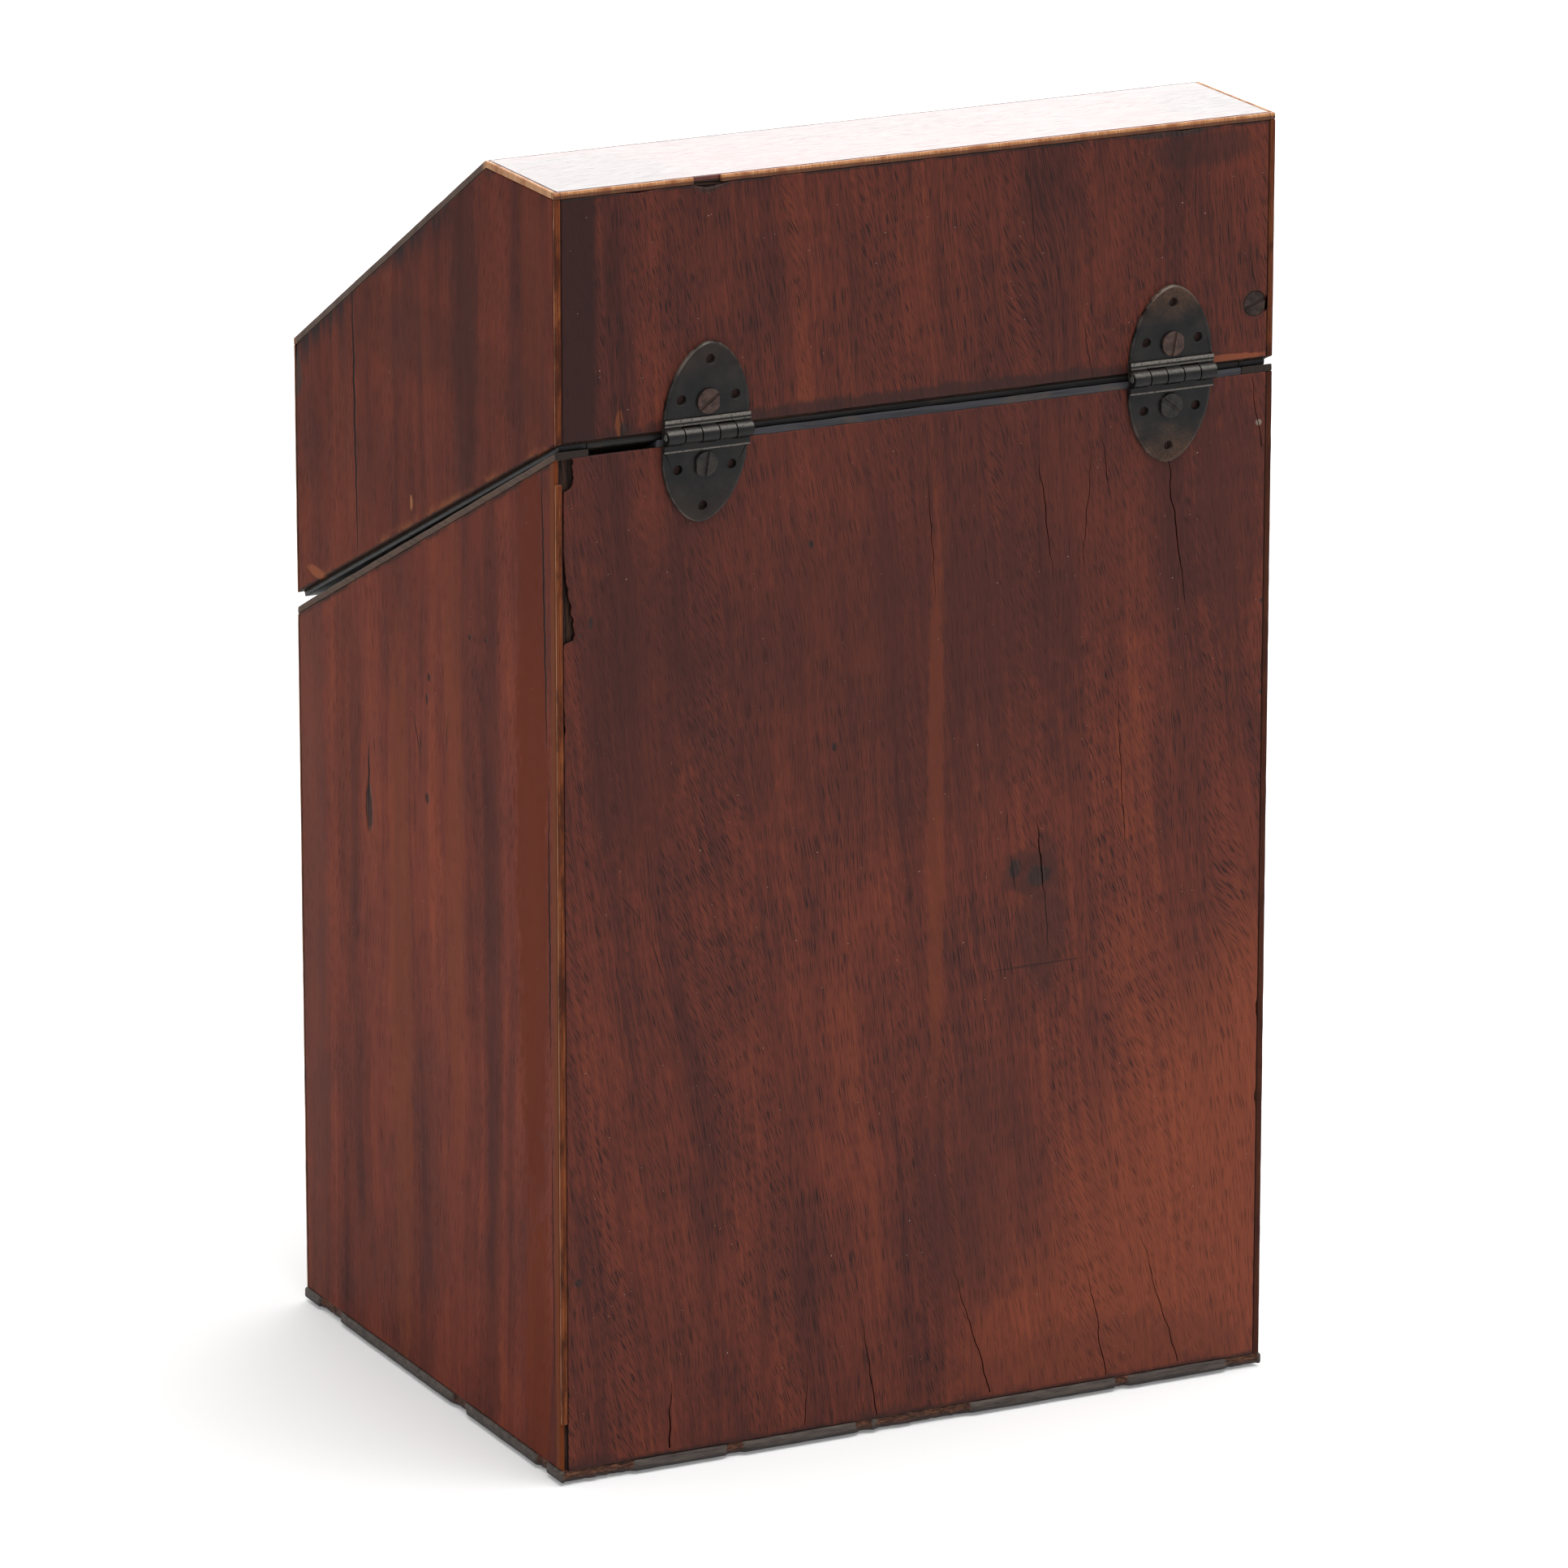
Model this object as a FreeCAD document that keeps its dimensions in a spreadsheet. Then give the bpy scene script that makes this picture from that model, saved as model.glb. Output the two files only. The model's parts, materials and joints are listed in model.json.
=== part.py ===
import FreeCAD, Part
import math
import os
import Sketcher

# A slope-lidded mahogany knife box, in millimetres.
# Origin: middle of the underside. +Z is up, -Y is the front, +Y the hinged back, +X the right.

SIZES = (
    ("width", 228, "side to side over the veneer"),
    ("depth", 180, "front to back over the veneer"),
    ("height", 380, "standing height"),
    ("flat_depth", 45.5, "level strip along the top of the lid, front to back"),
    ("slope_foot", 299, "height of the slope where it meets the front"),
    ("rim_back", 304, "height of the case boards at the back"),
    ("rim_front", 215, "height of the case boards at the front"),
    ("board", 9, "thickness of the carcase boards"),
    ("veneer", 1.2, "thickness of the saw-cut veneer"),
    ("string_width", 2, "width of the stringing along the edges"),
    ("banding_rise", 2.2, "upright thickness of the banding on the case rim"),
    ("bead_rise", 1.9, "upright thickness of the dark bead under the lid"),
    ("bead_recess", 1.6, "how far the bead lies in from the lid faces"),
    ("gap_back", 0.3, "parting gap at the back"),
    ("gap_front", 2.4, "parting gap at the front, where the lid stands off"),
    ("baize_thick", 1, "cloth under the case"),
    ("baize_inset", 4, "cloth edge in from the case faces"),
    ("edging_rise", 3.4, "height of the edging under the walls"),
    ("edging_proud", 0.6, "how far the edging stands out"),
    ("bottom_thick", 8, "bottom board"),
    ("rack_drop", 36, "rim down to the top of the cutlery rack, upright"),
    ("rack_thick", 8, "upright thickness of the rack"),
    ("batten", 8, "section of the battens under the rack"),
    ("slot_length", 24, "cutlery slot, side to side"),
    ("slot_breadth", 11, "cutlery slot, front to back"),
    ("slot_columns", 5, "cutlery slots in a row"),
    ("slot_side_margin", 8, "outermost slots from the battens"),
    ("slot_end_margin", 20, "first and last rows from the case walls"),
    ("hinge_right_inset", 46, "middle of the right hinge from the right face"),
    ("hinge_left_inset", 34, "middle of the left hinge from the left face"),
    ("hinge_width", 27, "length of the hinge along its pin"),
    ("leaf_reach", 26, "pin to the tip of a leaf"),
    ("leaf_tip", 5, "radius of the leaf's tip"),
    ("leaf_thick", 1.5, "leaf plate"),
    ("joggle_width", 2, "raised band of a leaf beside the knuckles"),
    ("joggle_thick", 2.2, "thickness of that band"),
    ("knuckle_radius", 2.3, "knuckles of the hinge"),
    ("knuckle_gap", 0.4, "clearance between knuckles and round them"),
    ("knuckle_clear", 0.3, "knuckles out from the back face"),
    ("pin_radius", 1, "hinge pin"),
    ("pin_fit", 0.05, "running clearance round the pin"),
    ("pin_lift", 0.6, "pin above the lower edge of the bead"),
    ("leaf_hole", 1.4, "radius of the spare nail holes in a leaf"),
    ("leaf_hole_spread", 8.4, "side nail holes from the middle of a leaf"),
    ("leaf_hole_side", 10, "side nail holes from the pin"),
    ("leaf_hole_tip", 5, "tip nail hole from the tip"),
    ("screw_margin", 0.7, "head of a leaf screw from the raised band"),
    ("screw_head_radius", 3.6, "slotted screw head"),
    ("screw_head_rise", 1, "head above its seat"),
    ("screw_shank_radius", 1.7, "screw shank"),
    ("screw_length", 9, "shank below the head"),
    ("screw_slot", 1, "width of the slot"),
    ("screw_slot_depth", 0.6, "depth of the slot"),
    ("screw_fit", 0.05, "clearance round a shank or sunk head"),
    ("mend_margin", 0.3, "head of the mending screw from the stringing at the left"),
    ("mend_rise", 16, "mending screw above the lower edge of the lid back"),
    ("lock_cover", 1.4, "wood left in front of the lock case"),
    ("lock_wall", 1, "walls of the lock case"),
    ("lock_margin", 1, "room past the end of the bolt and under the keyhole"),
    ("bolt_bar", 3, "height of the bolt bar"),
    ("bolt_tooth", 1.8, "height of a bolt tooth"),
    ("bolt_reach", 3, "length of a bolt tooth and of a hook toe"),
    ("bolt_play", 0.5, "clearance round the hooks and the bolt"),
    ("hook_spread", 20, "hook to hook on the link plate"),
    ("hook_stem", 2, "hook stem, side to side"),
    ("hook_thick", 1.6, "hooks and bolt, front to back"),
    ("hook_toe", 2, "height of a hook toe"),
    ("hook_swing", 3.4, "room in front of a hook as the lid swings up"),
    ("link_thick", 1.2, "link plate let into the bead"),
    ("escutcheon_width", 15, "lozenge plate, side to side"),
    ("escutcheon_height", 24, "lozenge plate, top to bottom"),
    ("escutcheon_proud", 0.5, "plate in front of the veneer"),
    ("keyhole_radius", 1.8, "round of the keyhole"),
    ("keyhole_slot", 1.8, "width of the keyhole's slot"),
    ("keyhole_length", 5.5, "round to the foot of the keyhole's slot"),
    ("keyhole_drop", 18, "keyhole below the front rim"),
)
SLOT_ROWS = 4
UPPER_KNUCKLES = 3
LOWER_KNUCKLES = 2
HALF_TURN = 180
# Slots of the screws: turn in degrees from level, as left by the last screwdriver.
SLOT_TURNS = {"upper_right": 38, "lower_right": 84, "upper_left": 80, "lower_left": 42, "mend": 55}

doc = FreeCAD.newDocument("KnifeBox")
sheet = doc.addObject("Spreadsheet::Sheet", "Sizes")


class Size:
    """A length known both as a sheet formula and as its present value."""

    def __init__(self, formula, value):
        self.formula = formula
        self.value = value

    def __add__(self, other):
        other = as_size(other)
        return Size(f"({self.formula} + {other.formula})", self.value + other.value)

    def __sub__(self, other):
        other = as_size(other)
        return Size(f"({self.formula} - {other.formula})", self.value - other.value)

    def __mul__(self, other):
        other = as_size(other)
        return Size(f"({self.formula} * {other.formula})", self.value * other.value)

    def __truediv__(self, other):
        other = as_size(other)
        return Size(f"({self.formula} / {other.formula})", self.value / other.value)

    def __neg__(self):
        return self * -1


def as_size(item):
    return item if isinstance(item, Size) else Size(f"({item})", item)


def root(size):
    return Size(f"sqrt({size.formula})", math.sqrt(size.value))


class SheetSizes:
    """The sheet's cells by alias, as sizes that can be added and scaled."""

    def __init__(self):
        for row, (alias, value, note) in enumerate(SIZES, start=1):
            sheet.set(f"A{row}", note)
            sheet.set(f"B{row}", str(value))
            sheet.setAlias(f"B{row}", alias)
            setattr(self, alias, Size(f"Sizes.{alias}", value))
        doc.recompute()


dim = SheetSizes()
ZERO = as_size(0)

# Planes and lines that several pieces share.
half_width = dim.width / 2
half_depth = dim.depth / 2
wall = dim.board + dim.veneer
carcase_x = half_width - dim.veneer
carcase_y = half_depth - dim.veneer
inner_x = half_width - wall
inner_y = half_depth - wall
foot_top = dim.baize_thick + dim.edging_rise
rim_fall = (dim.rim_back - dim.rim_front) / dim.depth
gap_growth = (dim.gap_front - dim.gap_back) / dim.depth
roof_fall = (dim.height - dim.slope_foot) / (dim.depth - dim.flat_depth)
roof_stretch = root(roof_fall * roof_fall + 1)


def rim(y):
    """Top of the case boards at a place between front and back."""
    return dim.rim_back - (half_depth - y) * rim_fall


def banding_top(y):
    return rim(y) + dim.banding_rise


def parting(y):
    """Lower side of the lid's bead."""
    return banding_top(y) + dim.gap_back + (half_depth - y) * gap_growth


def lid_foot(y):
    """Lower edge of the lid boards and veneers."""
    return parting(y) + dim.bead_rise


def roof(y, below=ZERO):
    """The lid's slope, or a plane square below it."""
    return dim.slope_foot + (y + half_depth) * roof_fall - below * roof_stretch


def fold(below=ZERO):
    """Where the level strip meets the slope, at a depth below the faces."""
    return half_depth - dim.flat_depth + below * (roof_stretch - 1) / roof_fall


def bind(feature, name, size):
    feature.setExpression(name, size.formula)


def new_body(label):
    body = doc.addObject("PartDesign::Body", label)
    body.Label = label
    return body


def sketch_on(body, role, offset=ZERO):
    """A sketch on one of the body's own planes, moved along the plane's normal."""
    sketch = body.newObject("Sketcher::SketchObject", f"{body.Name}_sketch")
    plane = [item for item in body.Origin.OriginFeatures if item.Role == role][0]
    sketch.AttachmentSupport = [(plane, "")]
    sketch.MapMode = "FlatFace"
    bind(sketch, "AttachmentOffset.Base.z", offset)
    return sketch


def hold(sketch, line, end, across, up):
    """Holds one end of a line, or the middle of a circle, to its place in the sheet."""
    for kind, size in (("DistanceX", across), ("DistanceY", up)):
        held = sketch.addConstraint(Sketcher.Constraint(kind, -1, 1, line, end, size.value))
        sketch.setExpression(f"Constraints[{held}]", size.formula)


def polygon(sketch, corners):
    points = [FreeCAD.Vector(across.value, up.value, 0) for across, up in corners]
    first = sketch.GeometryCount
    count = len(corners)
    for index in range(count):
        sketch.addGeometry(Part.LineSegment(points[index], points[(index + 1) % count]))
    for index in range(count):
        following = first + (index + 1) % count
        sketch.addConstraint(Sketcher.Constraint("Coincident", first + index, 2, following, 1))
    for index, (across, up) in enumerate(corners):
        hold(sketch, first + index, 1, across, up)


def rectangle(sketch, left, right, foot, top):
    polygon(sketch, ((left, foot), (right, foot), (right, top), (left, top)))


def circle(sketch, across, up, radius):
    middle = FreeCAD.Vector(across.value, up.value, 0)
    line = sketch.addGeometry(Part.Circle(middle, FreeCAD.Vector(0, 0, 1), radius.value))
    hold(sketch, line, 3, across, up)
    held = sketch.addConstraint(Sketcher.Constraint("Radius", line, radius.value))
    sketch.setExpression(f"Constraints[{held}]", radius.formula)


def pad(body, sketch, length, turned=False):
    feature = body.newObject("PartDesign::Pad", f"{body.Name}_pad")
    feature.Profile = sketch
    feature.Reversed = turned
    bind(feature, "Length", length)
    return feature


def pocket(body, sketch, length, turned=False):
    feature = body.newObject("PartDesign::Pocket", f"{body.Name}_pocket")
    feature.Profile = sketch
    feature.Reversed = turned
    bind(feature, "Length", length)
    return feature


def slab(label, corners, x_from, x_to):
    """A piece of one outline seen from the side, running from one x to another."""
    body = new_body(label)
    sketch = sketch_on(body, "YZ_Plane", x_from)
    polygon(sketch, corners)
    pad(body, sketch, x_to - x_from)
    return body


def slab_pair(label, corners, x_from, x_to):
    """The right and left pieces of one side outline."""
    slab(f"{label}_right", corners, x_from, x_to)
    slab(f"{label}_left", corners, -x_to, -x_from)


def slab_group(label, corners, x_from, x_to):
    """The right and left pieces of one side outline, kept together as separate solids."""
    body = slab(label, corners, x_from, x_to)
    sketch = sketch_on(body, "YZ_Plane", -x_to)
    polygon(sketch, corners)
    pad(body, sketch, x_to - x_from)


def notch(body, corners, x_from, x_to):
    """Cuts a side outline out of a body between one x and another."""
    sketch = sketch_on(body, "YZ_Plane", x_to)
    polygon(sketch, corners)
    pocket(body, sketch, x_to - x_from)


def bore_back(body, x, z, radius, face, depth):
    """A round hole from a face on the back, running forwards."""
    sketch = sketch_on(body, "XZ_Plane", -face)
    circle(sketch, x, z, radius)
    pocket(body, sketch, depth, turned=True)


def box(label, left, right, front, back, foot, top):
    piece = doc.addObject("Part::Box", label)
    piece.Label = label
    bind(piece, "Length", right - left)
    bind(piece, "Width", back - front)
    bind(piece, "Height", top - foot)
    for axis, size in (("x", left), ("y", front), ("z", foot)):
        bind(piece, f"Placement.Base.{axis}", size)


def upright(y_from, y_to, foot, top):
    """Corners of an upright board whose foot and top are heights or lines along y."""
    return (
        (y_from, foot(y_from)),
        (y_to, foot(y_to)),
        (y_to, top(y_to)),
        (y_from, top(y_from)),
    )


def on_foot(y):
    return foot_top


def under_back_string(y):
    return dim.height - dim.string_width


def under_slope_string(y):
    return dim.slope_foot - dim.string_width


# Places on the back that hold screws and hinges.
pin_out = dim.knuckle_radius + dim.knuckle_clear
pin_y = half_depth + pin_out
pin_z = parting(half_depth) + dim.pin_lift
hinge_places = {"right": half_width - dim.hinge_right_inset, "left": dim.hinge_left_inset - half_width}
joggle_from = dim.knuckle_radius + dim.knuckle_gap
joggle_to = joggle_from + dim.joggle_width
screw_seat = joggle_to + dim.screw_margin + dim.screw_head_radius
mend_x = dim.string_width + dim.mend_margin + dim.screw_head_radius - half_width
mend_z = lid_foot(half_depth) + dim.mend_rise
screw_bore = dim.screw_shank_radius + dim.screw_fit
screw_in_wood = dim.screw_length - dim.leaf_thick

# Places of the lock in the middle of the front.
bolt_end = dim.hook_spread / 2 + dim.hook_stem * 1.5 + dim.bolt_reach * 2 + dim.bolt_play
lock_half = bolt_end + dim.lock_margin + dim.lock_wall
lock_front = -carcase_y + dim.lock_cover
swing_front = lock_front + dim.lock_wall
hook_front = swing_front + dim.hook_swing
hook_back = hook_front + dim.hook_thick
chamber_back = hook_back + dim.bolt_play
lock_back = chamber_back + dim.lock_wall
key_z = dim.rim_front - dim.keyhole_drop
lock_base = key_z - dim.keyhole_length - dim.lock_margin - dim.lock_wall
tooth_top = banding_top(hook_front) - dim.lock_wall - dim.bolt_play
tooth_base = tooth_top - dim.bolt_tooth
toe_top = tooth_base - dim.bolt_play
toe_base = toe_top - dim.hook_toe
bar_top = toe_base - dim.bolt_play
bolt_base = bar_top - dim.bolt_bar
hook_middles = (-(dim.hook_spread / 2), dim.hook_spread / 2)


def screw_holes(body, rise, face, depth):
    """Pilot holes for the leaf screws of both hinges, above or below the pin."""
    for x in hinge_places.values():
        bore_back(body, x, pin_z + rise, screw_bore, face, depth)


def lozenge(body):
    sketch = sketch_on(body, "XZ_Plane", half_depth)
    half_across = dim.escutcheon_width / 2
    half_up = dim.escutcheon_height / 2
    corners = (
        (-half_across, key_z),
        (ZERO, key_z - half_up),
        (half_across, key_z),
        (ZERO, key_z + half_up),
    )
    polygon(sketch, corners)
    return sketch


def keyhole(body, face, depth):
    """Cuts the round and the slot of the keyhole backwards from a face on the front."""
    round_sketch = sketch_on(body, "XZ_Plane", -face)
    circle(round_sketch, ZERO, key_z, dim.keyhole_radius)
    pocket(body, round_sketch, depth)
    slot_sketch = sketch_on(body, "XZ_Plane", -face)
    half_slot = dim.keyhole_slot / 2
    rectangle(slot_sketch, -half_slot, half_slot, key_z - dim.keyhole_length, key_z)
    pocket(body, slot_sketch, depth)


def make_case_walls():
    slab_pair("case_board", upright(-carcase_y, carcase_y, on_foot, rim), inner_x, carcase_x)
    back = slab("case_board_back", upright(inner_y, carcase_y, on_foot, rim), -inner_x, inner_x)
    screw_holes(back, -screw_seat, carcase_y, screw_in_wood - dim.veneer)
    front = slab("case_board_front", upright(-carcase_y, -inner_y, on_foot, rim), -inner_x, inner_x)
    mortise = upright(lock_front, lock_back, lock_floor, rim)
    notch(front, mortise, -lock_half, lock_half)
    keyhole(front, -carcase_y, dim.lock_cover)


def make_case_veneers():
    face_x = half_width - dim.string_width
    slab_pair("case_veneer", upright(-carcase_y, carcase_y, on_foot, rim), carcase_x, half_width)
    back = slab("case_veneer_back", upright(carcase_y, half_depth, on_foot, rim), -face_x, face_x)
    screw_holes(back, -screw_seat, half_depth, dim.veneer)
    front = slab("case_veneer_front", upright(-half_depth, -carcase_y, on_foot, rim), -face_x, face_x)
    pocket(front, lozenge(front), dim.veneer)


def make_case_strings():
    face_x = half_width - dim.string_width
    slab_group("case_strings_back", upright(carcase_y, half_depth, on_foot, rim), face_x, half_width)
    slab_group("case_strings_front", upright(-half_depth, -carcase_y, on_foot, rim), face_x, half_width)


def make_rim_banding():
    slab_pair("rim_banding", upright(-half_depth, half_depth, rim, banding_top), inner_x, half_width)
    slab("rim_banding_back", upright(inner_y, half_depth, rim, banding_top), -inner_x, inner_x)
    front_outline = upright(-half_depth, -inner_y, rim, banding_top)
    front = slab("rim_banding_front", front_outline, -inner_x, inner_x)
    notch(front, upright(lock_front, lock_back, rim, banding_top), -lock_half, lock_half)


def make_foot():
    edging_x = half_width + dim.edging_proud
    edging_y = half_depth + dim.edging_proud
    levels = (dim.baize_thick, foot_top)
    box("foot_edging_back", -edging_x, edging_x, inner_y, edging_y, *levels)
    box("foot_edging_front", -edging_x, edging_x, -edging_y, -inner_y, *levels)
    box("foot_edging_right", inner_x, edging_x, -inner_y, inner_y, *levels)
    box("foot_edging_left", -edging_x, -inner_x, -inner_y, inner_y, *levels)
    bottom_top = dim.baize_thick + dim.bottom_thick
    box("bottom_board", -inner_x, inner_x, -inner_y, inner_y, dim.baize_thick, bottom_top)
    baize_x = half_width - dim.baize_inset
    baize_y = half_depth - dim.baize_inset
    box("baize_underlay", -baize_x, baize_x, -baize_y, baize_y, ZERO, dim.baize_thick)


def rack_top(y):
    return rim(y) - dim.rack_drop


def rack_foot(y):
    return rack_top(y) - dim.rack_thick


def batten_foot(y):
    return rack_foot(y) - dim.batten


def lock_floor(y):
    return lock_base


def make_rack():
    body = slab("cutlery_rack", upright(-inner_y, inner_y, rack_foot, rack_top), -inner_x, inner_x)
    sketch = sketch_on(body, "XY_Plane")
    row_left = dim.batten + dim.slot_side_margin - inner_x
    row_near = dim.slot_end_margin - inner_y
    row_pitch = (-row_near * 2 - dim.slot_breadth) / (SLOT_ROWS - 1)
    for row in range(SLOT_ROWS):
        near = row_near + row_pitch * row
        rectangle(sketch, row_left, row_left + dim.slot_length, near, near + dim.slot_breadth)
    slots = pocket(body, sketch, dim.height, turned=True)
    columns = body.newObject("PartDesign::LinearPattern", "cutlery_rack_columns")
    columns.Originals = [slots]
    columns.Direction = (sketch, ["H_Axis"])
    bind(columns, "Length", -row_left * 2 - dim.slot_length)
    bind(columns, "Occurrences", dim.slot_columns)
    body.Tip = columns
    batten_outline = upright(-inner_y, inner_y, batten_foot, rack_foot)
    slab_pair("rack_batten", batten_outline, inner_x - dim.batten, inner_x)


def make_lock_case():
    outline = upright(lock_front, lock_back, lock_floor, banding_top)
    case = slab("lock_case", outline, -lock_half, lock_half)
    chamber = upright(
        swing_front,
        chamber_back,
        lambda y: lock_base + dim.lock_wall,
        lambda y: banding_top(y) - dim.lock_wall,
    )
    notch(case, chamber, dim.lock_wall - lock_half, lock_half - dim.lock_wall)
    sketch = sketch_on(case, "XY_Plane", toe_top)
    for middle in hook_middles:
        left = middle - dim.hook_stem / 2 - dim.bolt_play
        right = middle + dim.hook_stem / 2 + dim.bolt_reach + dim.bolt_play
        rectangle(sketch, left, right, swing_front, chamber_back)
    pocket(case, sketch, dim.height, turned=True)
    keyhole(case, lock_front, dim.lock_wall)


def make_bolt():
    """A bar with a toothed post beside each hook, drawn back so that the lid is free."""
    body = new_body("lock_bolt")
    bar = sketch_on(body, "XZ_Plane", -hook_front)
    post_shift = dim.hook_stem / 2 + dim.bolt_reach * 2 + dim.bolt_play
    left, right = hook_middles
    rectangle(bar, left + post_shift, right + post_shift + dim.hook_stem, bolt_base, bar_top)
    pad(body, bar, dim.hook_thick, turned=True)
    posts = sketch_on(body, "XZ_Plane", -hook_front)
    for middle in hook_middles:
        post = middle + post_shift
        corners = (
            (post, bar_top),
            (post + dim.hook_stem, bar_top),
            (post + dim.hook_stem, tooth_top),
            (post - dim.bolt_reach, tooth_top),
            (post - dim.bolt_reach, tooth_base),
            (post, tooth_base),
        )
        polygon(posts, corners)
    pad(body, posts, dim.hook_thick, turned=True)


def link_outline():
    """Side outline of the link plate, let into the front bead of the lid."""
    return upright(swing_front, lock_back, parting, lambda y: parting(y) + dim.link_thick)


def make_link_plate():
    body = slab("lock_link_plate", link_outline(), -lock_half, lock_half)
    hooks = sketch_on(body, "XZ_Plane", -hook_back)
    stem_top = parting(hook_back)
    for middle in hook_middles:
        left = middle - dim.hook_stem / 2
        stem_right = middle + dim.hook_stem / 2
        toe_right = stem_right + dim.bolt_reach
        corners = (
            (left, toe_base),
            (toe_right, toe_base),
            (toe_right, toe_top),
            (stem_right, toe_top),
            (stem_right, stem_top),
            (left, stem_top),
        )
        polygon(hooks, corners)
    pad(body, hooks, dim.hook_thick)


def make_escutcheon():
    body = new_body("escutcheon")
    pad(body, lozenge(body), dim.veneer, turned=True)
    pad(body, lozenge(body), dim.escutcheon_proud)
    keyhole(body, -half_depth - dim.escutcheon_proud, dim.veneer + dim.escutcheon_proud)


def make_lid_boards():
    side = (
        (-carcase_y, lid_foot(-carcase_y)),
        (carcase_y, lid_foot(carcase_y)),
        (carcase_y, dim.height - dim.veneer),
        (fold(dim.veneer), dim.height - dim.veneer),
        (-carcase_y, roof(-carcase_y, dim.veneer)),
    )
    slab("lid_board_right", side, inner_x, carcase_x)
    left = slab("lid_board_left", side, -carcase_x, -inner_x)
    bore_back(left, mend_x, mend_z, screw_bore, carcase_y, dim.screw_length)
    back_outline = upright(inner_y, carcase_y, lid_foot, lambda y: dim.height - dim.veneer)
    back = slab("lid_board_back", back_outline, -inner_x, inner_x)
    screw_holes(back, screw_seat, carcase_y, screw_in_wood - dim.veneer)
    front_outline = upright(-carcase_y, -inner_y, lid_foot, lambda y: roof(y, dim.veneer))
    slab("lid_board_front", front_outline, -inner_x, inner_x)
    top_outline = (
        (fold(wall), dim.height - wall),
        (inner_y, dim.height - wall),
        (inner_y, dim.height - dim.veneer),
        (fold(dim.veneer), dim.height - dim.veneer),
    )
    slab("lid_board_top", top_outline, -inner_x, inner_x)
    slope_outline = (
        (-inner_y, roof(-inner_y, wall)),
        (fold(wall), dim.height - wall),
        (fold(dim.veneer), dim.height - dim.veneer),
        (-inner_y, roof(-inner_y, dim.veneer)),
    )
    slab("lid_board_slope", slope_outline, -inner_x, inner_x)


def make_lid_veneers():
    face_x = half_width - dim.string_width
    side = (
        (-carcase_y, lid_foot(-carcase_y)),
        (carcase_y, lid_foot(carcase_y)),
        (carcase_y, dim.height - dim.string_width),
        (fold(dim.string_width), dim.height - dim.string_width),
        (-carcase_y, roof(-carcase_y, dim.string_width)),
    )
    slab_pair("lid_veneer", side, carcase_x, half_width)
    back_outline = upright(carcase_y, half_depth, lid_foot, under_back_string)
    back = slab("lid_veneer_back", back_outline, -face_x, face_x)
    screw_holes(back, screw_seat, half_depth, dim.veneer)
    bore_back(back, mend_x, mend_z, dim.screw_head_radius + dim.screw_fit, half_depth, dim.veneer)
    front_outline = upright(-half_depth, -carcase_y, lid_foot, under_slope_string)
    slab("lid_veneer_front", front_outline, -face_x, face_x)
    top_outline = (
        (fold(dim.veneer), dim.height - dim.veneer),
        (carcase_y, dim.height - dim.veneer),
        (carcase_y, dim.height),
        (fold(), dim.height),
    )
    slab("lid_veneer_top", top_outline, -carcase_x, carcase_x)
    slope_outline = (
        (-carcase_y, roof(-carcase_y, dim.veneer)),
        (fold(dim.veneer), dim.height - dim.veneer),
        (fold(), dim.height),
        (-carcase_y, roof(-carcase_y)),
    )
    slab("lid_veneer_slope", slope_outline, -carcase_x, carcase_x)


def make_lid_strings():
    face_x = half_width - dim.string_width
    back_corner = upright(carcase_y, half_depth, lid_foot, under_back_string)
    slab_group("lid_strings_back", back_corner, face_x, half_width)
    front_corner = upright(-half_depth, -carcase_y, lid_foot, under_slope_string)
    slab_group("lid_strings_front", front_corner, face_x, half_width)
    top_back = upright(carcase_y, half_depth, under_back_string, lambda y: dim.height)
    slab("lid_string_top", top_back, -half_width, half_width)
    slope_edge = upright(-half_depth, -carcase_y, under_slope_string, roof)
    slab("lid_string_slope_foot", slope_edge, -half_width, half_width)
    side_edge = (
        (-carcase_y, roof(-carcase_y, dim.string_width)),
        (fold(dim.string_width), dim.height - dim.string_width),
        (carcase_y, dim.height - dim.string_width),
        (carcase_y, dim.height),
        (fold(), dim.height),
        (-carcase_y, roof(-carcase_y)),
    )
    slab_group("lid_strings_side", side_edge, carcase_x, half_width)


def make_lid_beads():
    bead_x = half_width - dim.bead_recess
    bead_y = half_depth - dim.bead_recess
    slab_pair("lid_bead", upright(-bead_y, bead_y, parting, lid_foot), inner_x, bead_x)
    slab("lid_bead_back", upright(inner_y, bead_y, parting, lid_foot), -inner_x, inner_x)
    front = slab("lid_bead_front", upright(-bead_y, -inner_y, parting, lid_foot), -inner_x, inner_x)
    notch(front, link_outline(), -lock_half, lock_half)


def arc(sketch, start, bulge, end, radius):
    """A round stretch of an outline, held at its ends and by its radius."""
    points = [FreeCAD.Vector(across.value, up.value, 0) for across, up in (start, bulge, end)]
    line = sketch.addGeometry(Part.Arc(*points))
    hold(sketch, line, 1, *start)
    hold(sketch, line, 2, *end)
    held = sketch.addConstraint(Sketcher.Constraint("Radius", line, radius.value))
    sketch.setExpression(f"Constraints[{held}]", radius.formula)


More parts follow.
